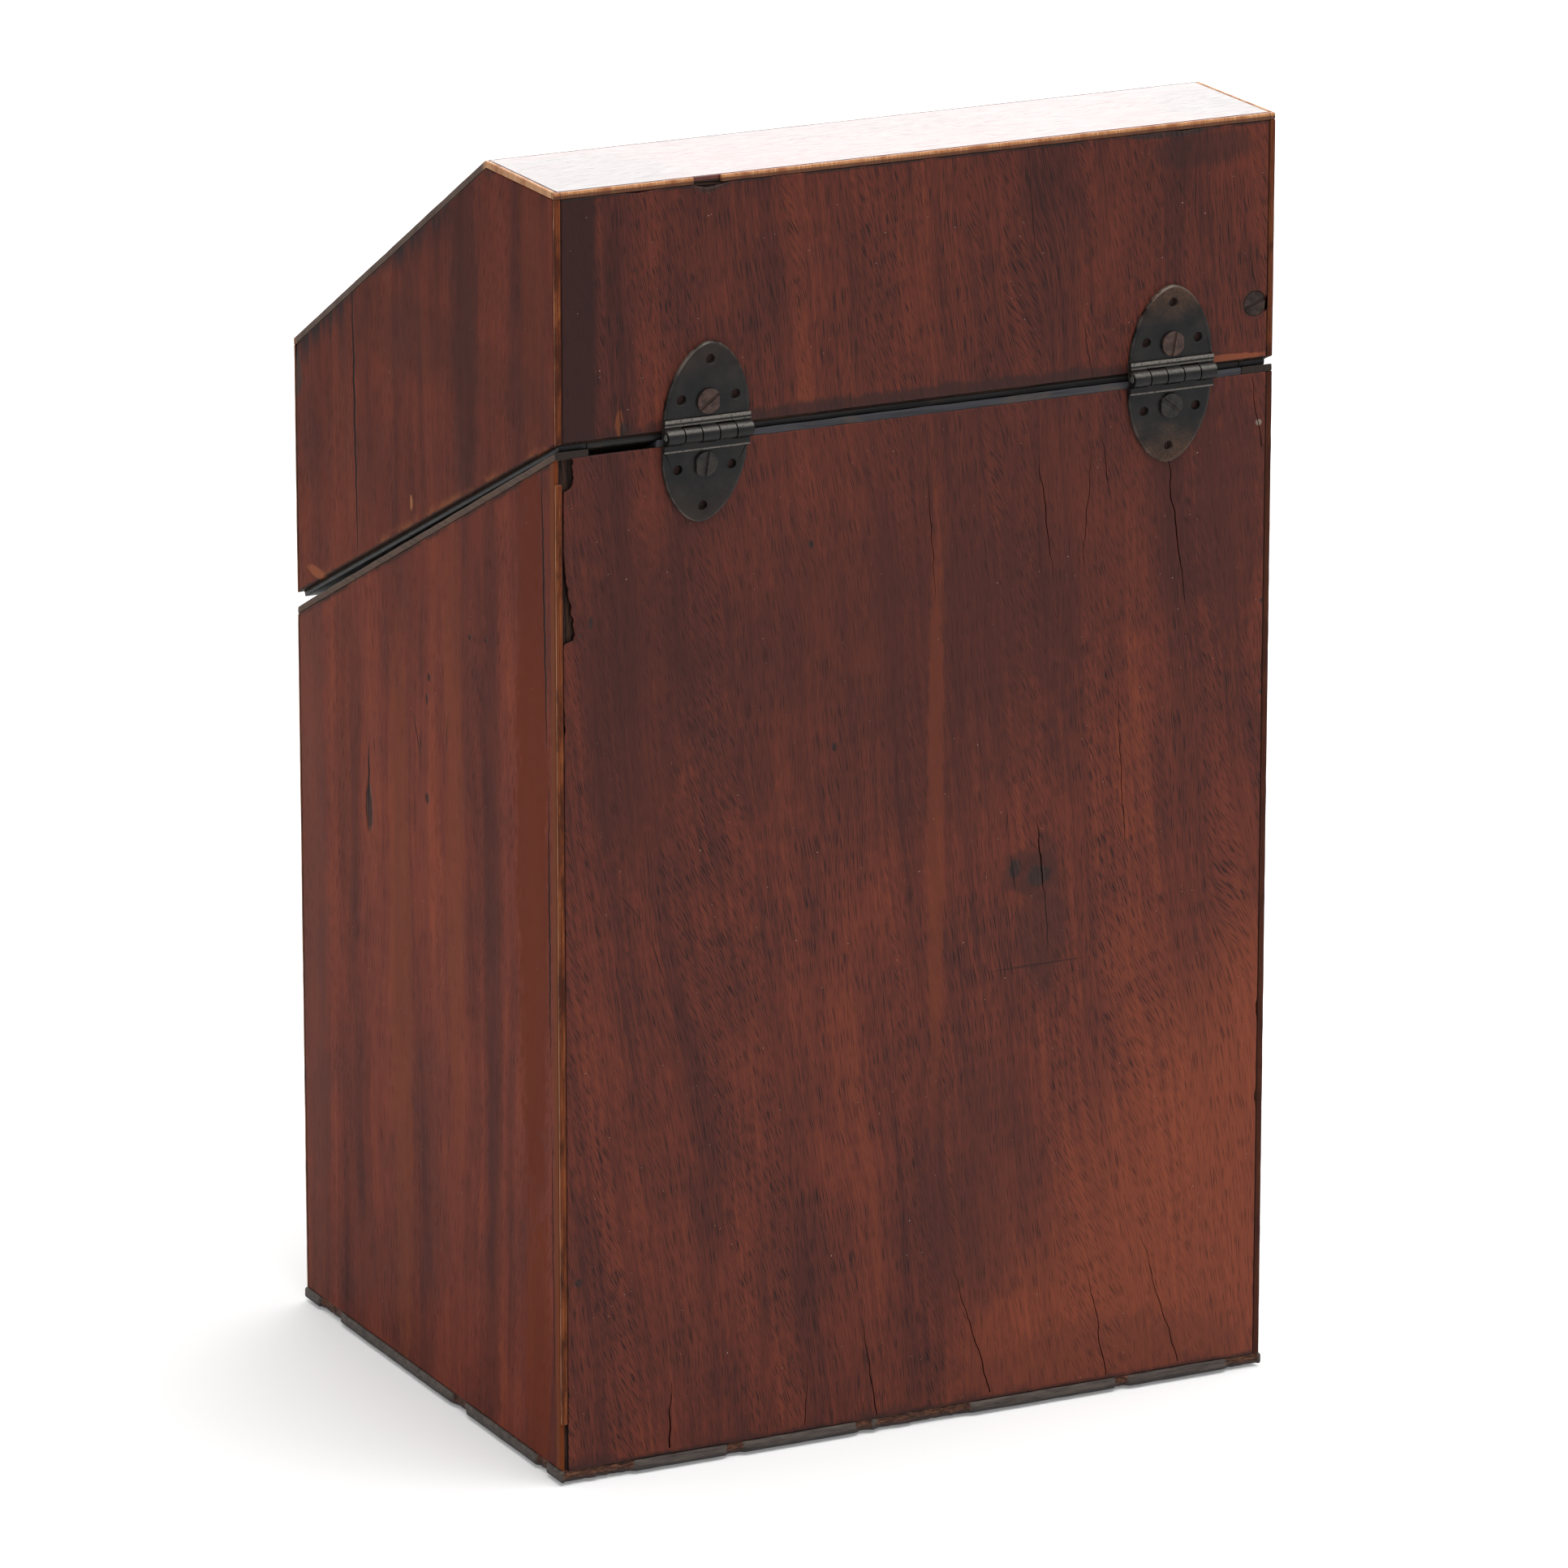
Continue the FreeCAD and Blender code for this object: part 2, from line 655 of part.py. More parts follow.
def leaf_outline(sketch):
    """Half a pointed oval: two wide arcs from the raised band that run into a small round tip."""
    half = dim.hinge_width / 2
    foot = joggle_from
    rise = dim.leaf_reach - foot - dim.leaf_tip
    side_radius = (half * half + rise * rise - dim.leaf_tip * dim.leaf_tip) / ((half - dim.leaf_tip) * 2)
    side_middle = side_radius - half
    share = side_radius / (side_radius - dim.leaf_tip)
    meet_x = side_middle * share - side_middle
    meet_z = foot + rise * share
    bulge_z = (foot + meet_z) / 2
    bulge_drop = bulge_z - foot
    bulge_x = root(side_radius * side_radius - bulge_drop * bulge_drop) - side_middle
    line = sketch.addGeometry(
        Part.LineSegment(
            FreeCAD.Vector(-half.value, foot.value, 0),
            FreeCAD.Vector(half.value, foot.value, 0),
        )
    )
    hold(sketch, line, 1, -half, foot)
    hold(sketch, line, 2, half, foot)
    arc(sketch, (half, foot), (bulge_x, bulge_z), (meet_x, meet_z), side_radius)
    arc(sketch, (meet_x, meet_z), (ZERO, dim.leaf_reach), (-meet_x, meet_z), dim.leaf_tip)
    arc(sketch, (-meet_x, meet_z), (-bulge_x, bulge_z), (-half, foot), side_radius)


def place_on_back(body, x, y, z, turn):
    """Puts a piece on the back, turned about the line that faces out of it."""
    body.Placement.Rotation = FreeCAD.Rotation(FreeCAD.Vector(0, 1, 0), turn)
    for axis, size in (("x", x), ("y", y), ("z", z)):
        bind(body, f"Placement.Base.{axis}", size)


def make_leaf(label, x, knuckles, turn):
    """A leaf drawn upwards from its pin; the lower ones are turned half round."""
    body = new_body(label)
    half = dim.hinge_width / 2
    plate = sketch_on(body, "XZ_Plane", pin_out)
    leaf_outline(plate)
    circle(plate, -dim.leaf_hole_spread, dim.leaf_hole_side, dim.leaf_hole)
    circle(plate, dim.leaf_hole_spread, dim.leaf_hole_side, dim.leaf_hole)
    circle(plate, ZERO, dim.leaf_reach - dim.leaf_hole_tip, dim.leaf_hole)
    circle(plate, ZERO, screw_seat, screw_bore)
    pad(body, plate, dim.leaf_thick, turned=True)
    band = sketch_on(body, "XZ_Plane", pin_out)
    rectangle(band, -half, half, joggle_from, joggle_to)
    pad(body, band, dim.joggle_thick, turned=True)

    pitch = dim.hinge_width / (UPPER_KNUCKLES + LOWER_KNUCKLES)
    first = -(pitch * (knuckles - 1)) - (pitch - dim.knuckle_gap) / 2
    web = sketch_on(body, "YZ_Plane", first)
    rectangle(web, -pin_out, dim.joggle_thick - pin_out, ZERO, joggle_to)
    web_pad = pad(body, web, pitch - dim.knuckle_gap)
    barrel = sketch_on(body, "YZ_Plane", first)
    circle(barrel, ZERO, ZERO, dim.knuckle_radius)
    barrel_pad = pad(body, barrel, pitch - dim.knuckle_gap)
    row = body.newObject("PartDesign::LinearPattern", f"{label}_knuckles")
    row.Originals = [web_pad, barrel_pad]
    row.Direction = (web, ["N_Axis"])
    bind(row, "Length", pitch * 2 * (knuckles - 1))
    row.Occurrences = knuckles
    body.Tip = row
    bore = sketch_on(body, "YZ_Plane", half)
    circle(bore, ZERO, ZERO, dim.pin_radius + dim.pin_fit)
    pocket(body, bore, dim.hinge_width)
    place_on_back(body, x, pin_y, pin_z, turn)


def make_pin(label, x):
    pin = doc.addObject("Part::Cylinder", label)
    pin.Label = label
    bind(pin, "Radius", dim.pin_radius)
    bind(pin, "Height", dim.hinge_width)
    pin.Placement.Rotation = FreeCAD.Rotation(FreeCAD.Vector(0, 1, 0), 90)
    for axis, size in (("x", x - dim.hinge_width / 2), ("y", pin_y), ("z", pin_z)):
        bind(pin, f"Placement.Base.{axis}", size)


def make_screw(label, x, seat, z, turn):
    """A slotted wood screw whose head sits on its seat and faces backwards."""
    body = new_body(label)
    profile = sketch_on(body, "XY_Plane")
    point_radius = dim.screw_shank_radius / 2
    corners = (
        (ZERO, -dim.screw_length),
        (point_radius, -dim.screw_length),
        (dim.screw_shank_radius, dim.screw_shank_radius * 2 - dim.screw_length),
        (dim.screw_shank_radius, ZERO),
        (dim.screw_head_radius, ZERO),
        (dim.screw_head_radius, dim.screw_head_rise),
        (ZERO, dim.screw_head_rise),
    )
    polygon(profile, corners)
    turned = body.newObject("PartDesign::Revolution", f"{label}_turning")
    turned.Profile = profile
    turned.ReferenceAxis = (profile, ["V_Axis"])
    slot = sketch_on(body, "XZ_Plane", -dim.screw_head_rise)
    reach = dim.screw_head_radius + dim.screw_slot
    half_slot = dim.screw_slot / 2
    rectangle(slot, -reach, reach, -half_slot, half_slot)
    pocket(body, slot, dim.screw_slot_depth, turned=True)
    place_on_back(body, x, seat, z, turn)


def make_hinges():
    leaf_face = half_depth + dim.leaf_thick
    for hand, x in hinge_places.items():
        make_leaf(f"hinge_upper_leaf_{hand}", x, UPPER_KNUCKLES, 0)
        make_leaf(f"hinge_lower_leaf_{hand}", x, LOWER_KNUCKLES, HALF_TURN)
        make_pin(f"hinge_pin_{hand}", x)
        for level, rise in (("upper", screw_seat), ("lower", -screw_seat)):
            turn = SLOT_TURNS[f"{level}_{hand}"]
            make_screw(f"hinge_{level}_screw_{hand}", x, leaf_face, pin_z + rise, turn)
    make_screw("lid_mending_screw", mend_x, carcase_y, mend_z, SLOT_TURNS["mend"])


def check_model():
    """Stops on a failed feature, a broken shape or a cut that takes nothing away."""
    for item in doc.Objects:
        if "Invalid" in item.State or "Error" in item.State:
            raise RuntimeError(f"{item.Label} failed: {item.State}")
        if item.TypeId == "PartDesign::Pocket":
            if item.Shape.Volume >= item.BaseFeature.Shape.Volume:
                raise RuntimeError(f"{item.Label} cuts nothing")


def write_parts():
    os.makedirs("parts", exist_ok=True)
    for item in doc.Objects:
        if item.TypeId not in ("PartDesign::Body", "Part::Box", "Part::Cylinder"):
            continue
        if item.Shape.isNull() or not item.Shape.isValid():
            raise RuntimeError(f"{item.Label} has a broken shape")
        item.Shape.exportStep(f"parts/{item.Label}.step")


make_case_walls()
make_case_veneers()
make_case_strings()
make_rim_banding()
make_foot()
make_rack()
make_lock_case()
make_bolt()
make_link_plate()
make_escutcheon()
make_lid_boards()
make_lid_veneers()
make_lid_strings()
make_lid_beads()
make_hinges()
doc.recompute()
check_model()
write_parts()
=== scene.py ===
import json
import math

import bmesh
import bpy
from mathutils import Matrix, Vector, noise

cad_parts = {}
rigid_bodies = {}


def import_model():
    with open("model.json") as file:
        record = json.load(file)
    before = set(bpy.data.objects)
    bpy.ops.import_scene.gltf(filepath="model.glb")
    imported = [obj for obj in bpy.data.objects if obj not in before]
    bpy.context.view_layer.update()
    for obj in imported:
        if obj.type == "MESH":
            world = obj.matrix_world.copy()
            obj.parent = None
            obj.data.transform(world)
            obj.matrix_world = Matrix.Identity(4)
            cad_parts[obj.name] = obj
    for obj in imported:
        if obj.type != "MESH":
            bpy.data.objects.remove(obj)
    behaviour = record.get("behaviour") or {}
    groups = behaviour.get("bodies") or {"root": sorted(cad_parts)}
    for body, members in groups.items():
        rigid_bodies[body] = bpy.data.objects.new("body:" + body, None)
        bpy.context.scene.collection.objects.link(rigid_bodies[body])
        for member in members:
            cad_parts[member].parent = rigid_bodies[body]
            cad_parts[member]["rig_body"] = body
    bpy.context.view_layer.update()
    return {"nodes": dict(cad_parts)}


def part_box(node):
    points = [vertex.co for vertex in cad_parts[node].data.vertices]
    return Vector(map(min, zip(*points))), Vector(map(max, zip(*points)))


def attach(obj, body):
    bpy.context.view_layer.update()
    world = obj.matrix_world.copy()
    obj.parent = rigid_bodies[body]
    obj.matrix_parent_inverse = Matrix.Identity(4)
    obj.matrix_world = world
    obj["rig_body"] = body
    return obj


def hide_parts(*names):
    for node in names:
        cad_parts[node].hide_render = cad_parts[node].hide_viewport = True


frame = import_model()

# The wear is the same in every run.
WEAR_SEED = 3
noise.seed_set(WEAR_SEED)

# Lengths and places are in millimetres, and MM makes metres of them.
MM = 0.001
NEAR_ZERO = 1e-6

RIGHT, LEFT = Vector((1, 0, 0)), Vector((-1, 0, 0))
BACK, FRONT = Vector((0, 1, 0)), Vector((0, -1, 0))
UP = Vector((0, 0, 1))
SLOPE = Vector((0, -81, 134.5)).normalized()
SPAN = (-114, 114)

# Veneer leaves: their thickness, how far their edges fray and are rounded, and the cracks in them.
LEAF_THICK = 1.2
LEAF_FRAY = 0.16
FRAY_SHARE = 0.8
LEAF_ROUND = 0.5
CRACK_SHARE = 0.75
CRACK_INSET = 0.95
TORN_REACH = 1.45

# Hinges: the pins' height, how far each hinge leans by its middle, and the outline of its leaves.
PIN_HEIGHT = 307.1
HINGE_SKEW = {68: -0.062, -80: -0.028}
KNUCKLE_REACH = 2.65
NAIL_HOLES = ((-8.4, 10), (8.4, 10), (0, 21))
NAIL_HOLE_MARK = (3.6, 3.6)
NAIL_CLEAR = 1.8
SCREW_SEAT = 9
SCREW_CLEAR = 4.2
HINGE_STEP = 4.7
HINGE_WIDE = 13.43
HINGE_LONG = 21.3
HINGE_FULLNESS = 1.8
HINGE_FACE = 91.5
FACE_SLACK = 0.02
RIM_SHARP = 40
HINGE_SLOT_TURNS = {("lower", -80): -80}
MENDING_SLOT_TURN = -35


class Finish:
    """A material being made, with short calls for the nodes that its pattern needs."""

    def __init__(self, name):
        self.material = bpy.data.materials.new(name)
        self.material.use_nodes = True
        self.tree = self.material.node_tree
        self.shader = self.tree.nodes["Principled BSDF"]
        self.place = self.add("ShaderNodeTexCoord").outputs["Object"]
        self.dented = None

    def add(self, kind, **settings):
        node = self.tree.nodes.new(kind)
        for key, value in settings.items():
            setattr(node, key, value)
        return node

    def feed(self, socket, value):
        if isinstance(value, bpy.types.NodeSocket):
            self.tree.links.new(value, socket)
        elif hasattr(value, "__len__") and len(value) == 3 and socket.type == "RGBA":
            socket.default_value = (*value, 1)
        else:
            socket.default_value = value

    def calc(self, operation, *values):
        node = self.add("ShaderNodeMath", operation=operation)
        for socket, value in zip(node.inputs, values):
            self.feed(socket, value)
        return node.outputs[0]

    def times(self, value, *factors):
        for factor in factors:
            value = self.calc("MULTIPLY", value, factor)
        return value

    def mixed(self, start, *terms):
        """The start, and values times their weights, added up."""
        total = start
        for value, weight in terms:
            total = self.calc("MULTIPLY_ADD", value, weight, total)
        return total

    def share(self, value, low, high):
        """0 below low and 1 above high, or the other way about where low is the larger."""
        node = self.add("ShaderNodeMapRange", interpolation_type="SMOOTHSTEP")
        flip = low > high
        self.feed(node.inputs["Value"], value)
        self.feed(node.inputs["From Min"], min(low, high))
        self.feed(node.inputs["From Max"], max(low, high))
        self.feed(node.inputs["To Min"], 1.0 if flip else 0.0)
        self.feed(node.inputs["To Max"], 0.0 if flip else 1.0)
        return node.outputs[0]

    def near(self, value, middle, half, core):
        """1 within core times half of the middle, and 0 further off than half."""
        off = self.calc("ABSOLUTE", self.calc("SUBTRACT", value, middle))
        return self.share(off, half, half * core)

    def axes(self, vector):
        node = self.add("ShaderNodeSeparateXYZ")
        self.feed(node.inputs[0], vector)
        return node.outputs

    def lay(self, across, along, through):
        """Millimetres across the grain, along it and through the leaf, from three of the axes."""
        x, y, z = self.axes(self.place)
        named = {"x": x, "y": y, "z": z}
        joined = self.add("ShaderNodeCombineXYZ")
        for socket, letter in zip(joined.inputs, (across, along, through)):
            self.feed(socket, named[letter])
        scaled = self.add("ShaderNodeVectorMath", operation="SCALE")
        self.feed(scaled.inputs[0], joined.outputs[0])
        scaled.inputs["Scale"].default_value = 1 / MM
        return scaled.outputs[0]

    def places(self):
        """The three coordinates in millimetres."""
        return [self.times(axis, 1 / MM) for axis in self.axes(self.place)]

    def cloud(self, vector, sizes, detail=2.0, rough=0.5, turn=0.0, shift=(0, 0, 0)):
        """Noise from 0 to 1 whose lumps have these sizes along the vector's three axes."""
        lie = self.add("ShaderNodeMapping")
        turned_vector = vector
        if turn:
            spin = self.add("ShaderNodeVectorRotate", rotation_type="Z_AXIS")
            self.feed(spin.inputs["Vector"], vector)
            spin.inputs["Angle"].default_value = math.radians(turn)
            turned_vector = spin.outputs[0]
        self.feed(lie.inputs["Vector"], turned_vector)
        lie.inputs["Scale"].default_value = [1 / size for size in sizes]
        lie.inputs["Location"].default_value = shift
        lumps = self.add("ShaderNodeTexNoise")
        self.feed(lumps.inputs["Vector"], lie.outputs[0])
        lumps.inputs["Scale"].default_value = 1
        lumps.inputs["Detail"].default_value = detail
        lumps.inputs["Roughness"].default_value = rough
        return lumps.outputs[0]

    def wander(self, vector, amount, drift):
        """The vector, moved across the grain by amount times drift."""
        move = self.add("ShaderNodeCombineXYZ")
        self.feed(move.inputs[0], self.calc("MULTIPLY_ADD", drift, amount, -amount / 2))
        joined = self.add("ShaderNodeVectorMath", operation="ADD")
        self.feed(joined.inputs[0], vector)
        self.feed(joined.inputs[1], move.outputs[0])
        return joined.outputs[0]

    def blend(self, share, first, second):
        node = self.add("ShaderNodeMix", data_type="RGBA", blend_type="MIX")
        self.feed(node.inputs["Factor"], share)
        self.feed(node.inputs[6], first)
        self.feed(node.inputs[7], second)
        return node.outputs[2]

    def over(self, under, colour, share, weight):
        """Lays a colour over what is under it, as strongly as its share times its weight."""
        return self.blend(self.times(share, weight), under, colour)

    def tones(self, value, *stops):
        node = self.add("ShaderNodeValToRGB")
        ramp = node.color_ramp
        while len(ramp.elements) < len(stops):
            ramp.elements.new(0.5)
        for element, (place, colour) in zip(ramp.elements, stops):
            element.position = place
            element.color = (*colour, 1)
        self.feed(node.inputs[0], value)
        return node.outputs[0]

    def spot(self, across, along, middle, reach, ragged):
        """A ragged oval patch: 1 in its middle, 0 outside."""
        wide = self.calc("MULTIPLY_ADD", across, 1 / reach[0], -middle[0] / reach[0])
        tall = self.calc("MULTIPLY_ADD", along, 1 / reach[1], -middle[1] / reach[1])
        far = self.calc("SQRT", self.calc("MULTIPLY_ADD", wide, wide, self.calc("MULTIPLY", tall, tall)))
        return self.share(self.calc("ADD", far, self.calc("MULTIPLY_ADD", ragged, 1.1, -0.55)), 1.0, 0.62)

    def split(self, across, along, start, end, width, soft=0.16):
        """A crack from start to end, widest in its middle."""
        run = end[1] - start[1]
        part = self.calc("MULTIPLY_ADD", along, 1 / run, -start[1] / run)
        swell = self.calc("MULTIPLY", part, self.calc("SUBTRACT", 1.0, part))
        line = self.calc("MULTIPLY_ADD", part, end[0] - start[0], start[0])
        off = self.calc("ABSOLUTE", self.calc("SUBTRACT", across, line))
        inside = self.calc("SUBTRACT", self.calc("MULTIPLY", swell, 2 * width), off)
        return self.share(inside, -0.02, soft)

    def most(self, shares):
        total = shares[0]
        for other in shares[1:]:
            total = self.calc("MAXIMUM", total, other)
        return total

    def dent(self, height, depth):
        """Adds a bump of this depth in millimetres."""
        node = self.add("ShaderNodeBump")
        node.inputs["Strength"].default_value = 1.0
        node.inputs["Distance"].default_value = depth * MM
        self.feed(node.inputs["Height"], height)
        if self.dented:
            self.feed(node.inputs["Normal"], self.dented)
        self.dented = node.outputs[0]

    def done(self, colour, rough, **settings):
        self.feed(self.shader.inputs["Base Color"], colour)
        self.feed(self.shader.inputs["Roughness"], rough)
        for name, value in settings.items():
            self.feed(self.shader.inputs[name.replace("_", " ")], value)
        if self.dented:
            self.feed(self.shader.inputs["Normal"], self.dented)
        return self.material


MAHOGANY_TONES = ((0.33, (0.040, 0.0112, 0.0092)), (0.46, (0.080, 0.0185, 0.0130)),
                  (0.58, (0.125, 0.0275, 0.0165)), (0.74, (0.195, 0.0430, 0.0210)))
GLOW_DIM, GLOW_BRIGHT = (0.145, 0.032, 0.0165), (0.28, 0.064, 0.026)
CHAR_TONES = ((0.38, (0.008, 0.0065, 0.0065)), (0.54, (0.030, 0.017, 0.015)), (0.70, (0.075, 0.034, 0.026)))
PORE_DARK = (0.016, 0.0066, 0.0060)
SCRATCH_DARK = (0.022, 0.009, 0.008)
SPLIT_DARK = (0.008, 0.0045, 0.004)
CRACK_SHADE = (0.007, 0.004, 0.0035)
DUST_PALE = (0.40, 0.30, 0.24)
WIDE_HEM = 8


def mahogany(name, lie, gloss=0.42, shine=0.15, lean=6, pale=1.0, pore=1.0, ripple=0.35, comb=1.0, splits=(),
             scratches=(), knots=(), stains=(), bands=(), hems=(), glow=None, edge=None, crack_shade_level=None):
    """Old polished mahogany veneer: slow ribbons, fine streaks, dark pores, then its own marks.

    lie names the axes across the grain, along it and through the leaf, and lean turns the grain in degrees.
    pale scales all the tones, for the leaf's own tone and for painted light and shade on its face.
    Marks have their places across and along the grain. A hem follows a sloping edge, a band runs along the
    grain, glow paints a lighter, warmer corner as light bounced up from the floor, edge is worn from its
    place outwards, and pits paints shade below its level, deep in the cracks.
    """
    wood = Finish(name)
    flat = wood.lay(*lie)
    across, along, through = wood.axes(flat)
    slow = wood.cloud(flat, (55, 210, 50), 2.0, shift=(3.1, 0.7, 0))
    bent = wood.wander(flat, 26, slow)
    ribbon = wood.cloud(bent, (11, 420, 60), 1.5, turn=lean * 0.5)
    band = wood.cloud(bent, (24, 330, 60), 3.0, 0.6, lean * 0.5, (5, 2, 1))
    streak = wood.cloud(bent, (1.7, 120, 30), 4.0, 0.65, lean * 0.6)
    mottle = wood.cloud(bent, (15, 30, 20), 4.0, 0.6, lean, (1, 9, 2))
    fine = wood.cloud(bent, (0.5, 9, 5), 3.0, 0.7, lean)
    wide = 0.95 - 0.45 * comb
    body = wood.mixed(0.26 - 0.34 * comb - wide / 2, (ribbon, 0.28), (mottle, 0.32), (band, wide),
                      (streak, 0.46 * comb), (fine, 0.22 * comb))
    # pale scales every tone: the leaf's own tone, and painted light and shade for how brightly its face is
    # lit.
    lit = wood.tones(body, *[(place, [part * pale for part in colour]) for place, colour in MAHOGANY_TONES])
    bounce_lit = 0.0
    # Painted light: bounce light from the floor, lighter and warmer towards one corner, which also thins the
    # pores there.
    if glow:
        sideways, upwards, start, full = glow
        bounce_lit = wood.share(wood.mixed(0.0, (band, 60), (along, upwards), (across, sideways)), start, full)
        bounce_lit = wood.times(bounce_lit, 0.75)
        lit = wood.blend(bounce_lit, lit, wood.blend(streak, GLOW_DIM, GLOW_BRIGHT))

    leaning = wood.cloud(bent, (0.27, 5.2, 3), 1.0, 0.6, lean + 9)
    upright = wood.cloud(bent, (0.25, 7.5, 3), 1.0, 0.6, lean - 4, (7, 1, 0))
    side = wood.share(ribbon, 0.44, 0.54)
    pores = wood.calc("ADD", wood.times(wood.share(leaning, 0.50, 0.64), side),
                     wood.times(wood.share(upright, 0.51, 0.65), wood.calc("SUBTRACT", 1.0, side)))
    pores = wood.times(pores, wood.calc("MULTIPLY_ADD", wood.share(mottle, 0.70, 0.40), 0.45, 0.55))
    lit = wood.over(lit, PORE_DARK, pores, wood.calc("MULTIPLY_ADD", bounce_lit, -0.5 * pore, 0.95 * pore))

    ragged = wood.cloud(flat, (3.4, 7, 5), 4.0, 0.65)
    wiggle = wood.cloud(flat, (40, 6.5, 40), 3.0, 0.6)
    crooked = wood.calc("ADD", across, wood.calc("MULTIPLY_ADD", wiggle, 1.9, -0.95))
    for low, high, colour, weight in bands:
        lit = wood.over(lit, colour, wood.share(crooked, low, high), weight)
    for slope, level, deep, colour, low, high in hems:
        above = wood.calc("SUBTRACT", wood.calc("MULTIPLY_ADD", across, -slope, along), level)
        rubbed = wood.cloud(flat, (16, 16, 9), 4.0, 0.7, shift=(level, deep, 4))
        fringe, reach = ragged, 0.9
        if abs(deep) > WIDE_HEM:
            fringe, reach = wood.cloud(flat, (2.0, 36, 9), 3.0, 0.6), 1.6
        beside = wood.share(wood.calc("MULTIPLY_ADD", fringe, deep * reach, above), deep * 1.35, deep * 0.55)
        lit = wood.over(lit, colour, beside, wood.share(rubbed, low, high))
    for middle, reach, colour, weight in stains:
        lit = wood.over(lit, colour, wood.spot(across, along, middle, reach, ragged), weight)

    sunk = []
    if knots:
        burnt = wood.most([wood.spot(across, along, middle, reach, ragged) for middle, reach in knots])
        lit = wood.over(lit, wood.tones(fine, *CHAR_TONES), burnt, 0.85)
        sunk.append(wood.times(burnt, 0.5))
    if scratches:
        rubbed = wood.most([wood.split(along, across, start[::-1], end[::-1], width, 0.5)
                            for start, end, width in scratches])
        lit = wood.over(lit, SCRATCH_DARK, rubbed, 0.8)
    if splits:
        parted = wood.most([wood.split(crooked, along, start, end, width) for start, end, width in splits])
        lit = wood.over(lit, SPLIT_DARK, parted, 0.93)
        sunk.append(parted)
    # Painted shade: below this level through the leaf, deep in the cracks, the wood is darkened as shade
    # would darken it.
    if crack_shade_level:
        lit = wood.blend(wood.share(through, crack_shade_level - 0.08, crack_shade_level - 0.42), lit, CRACK_SHADE)
    specks = wood.share(wood.cloud(flat, (0.55, 0.55, 0.55), 0.0), 0.868, 0.876)
    dusty = wood.share(wood.cloud(flat, (9, 9, 9), 1.0), 0.54, 0.58)
    lit = wood.over(lit, DUST_PALE, wood.times(specks, dusty), 0.8)
    if edge:
        start, depth, colour = edge
        worn = wood.share(wood.calc("MULTIPLY_ADD", ragged, depth, across), start, start + depth * 0.5)
        lit = wood.blend(worn, lit, colour)

    wood.dent(wood.cloud(flat, (26, 48, 30), 2.0, shift=(2, 2, 2)), ripple)
    wood.dent(pores, -0.02 * pore)
    if sunk:
        wood.dent(wood.most(sunk), -0.25)
    dull = wood.mixed(gloss - 0.08, (pores, 0.14), (mottle, 0.16))
    return wood.done(lit, dull, Specular_IOR_Level=shine)


def boxwood(name, dark, mid, light, shine, dim=0.0, far=0.0, grimy=None):
    """Boxwood stringing: pale lines gone orange under dirty polish, with dark glue lines.

    dim darkens the lines in front of the lid's level top, far darkens those at the lowest x, and below the
    height grimy they are dirty.
    """
    wood = Finish(name)
    x, y, z = wood.places()
    run = wood.lay("x", "z", "y")
    dirt = wood.cloud(run, (5, 16, 5), 4.0, 0.65)
    grain = wood.cloud(run, (0.5, 14, 0.6), 3.0, 0.6)
    lit = wood.tones(grain, (0.30, dark), (0.52, mid), (0.74, light))
    lit = wood.blend(wood.share(dirt, 0.44, 0.64), lit, dark)
    lit = wood.over(lit, (0.023, 0.0105, 0.0085), wood.share(y, 46, 42), dim)
    low = wood.calc("MULTIPLY_ADD", wood.share(z, 312, 302), 0.45, 0.35)
    lit = wood.over(lit, (0.036, 0.011, 0.007), wood.times(wood.share(x, -80, -100), far), low)
    if grimy:
        under = wood.share(wood.calc("MULTIPLY_ADD", dirt, 0.5, z), grimy + 0.4, grimy)
        lit = wood.over(lit, (0.060, 0.017, 0.009), under, 0.85)
    wide = wood.calc("ABSOLUTE", x)
    deep = wood.calc("ABSOLUTE", y)
    flank = wood.share(deep, 89.85, 89.70)
    cream = wood.share(dirt, 0.68, 0.40)
    for middle, half in ((88.45, 0.30), (89.40, 0.28)):
        line = wood.times(wood.near(deep, middle, half, 0.5), flank)
        lit = wood.over(lit, (0.36, 0.165, 0.080), line, cream)
    for value, middle, half in ((wide, 112.15, 0.16), (deep, 88.92, 0.20), (deep, 88.06, 0.14)):
        lit = wood.over(lit, (0.022, 0.010, 0.007), wood.near(value, middle, half, 0.4), 0.85)
    wood.dent(grain, 0.04)
    return wood.done(lit, wood.calc("MULTIPLY_ADD", dirt, 0.3, 0.28), Specular_IOR_Level=shine)


def worn_brown(name, dark, mid, light, run, rough, broken=0.0):
    """Small worn mouldings: streaked along their run and rubbed pale, with the back end broken dark."""
    wood = Finish(name)
    flat = wood.lay(*run)
    streak = wood.cloud(flat, (0.7, 26, 0.7), 3.0, 0.6)
    rub = wood.cloud(flat, (4, 13, 4), 4.0, 0.6, shift=(4, 4, 4))
    lit = wood.tones(streak, (0.32, dark), (0.56, mid))
    lit = wood.over(lit, light, wood.share(rub, 0.50, 0.74), 0.6)
    lit = wood.over(lit, (0.012, 0.010, 0.009), wood.share(wood.places()[1], 88.6, 89.9), broken)
    wood.dent(rub, 0.12)
    wood.dent(streak, 0.05)
    return wood.done(lit, wood.calc("MULTIPLY_ADD", rub, 0.3, rough), Specular_IOR_Level=0.16)


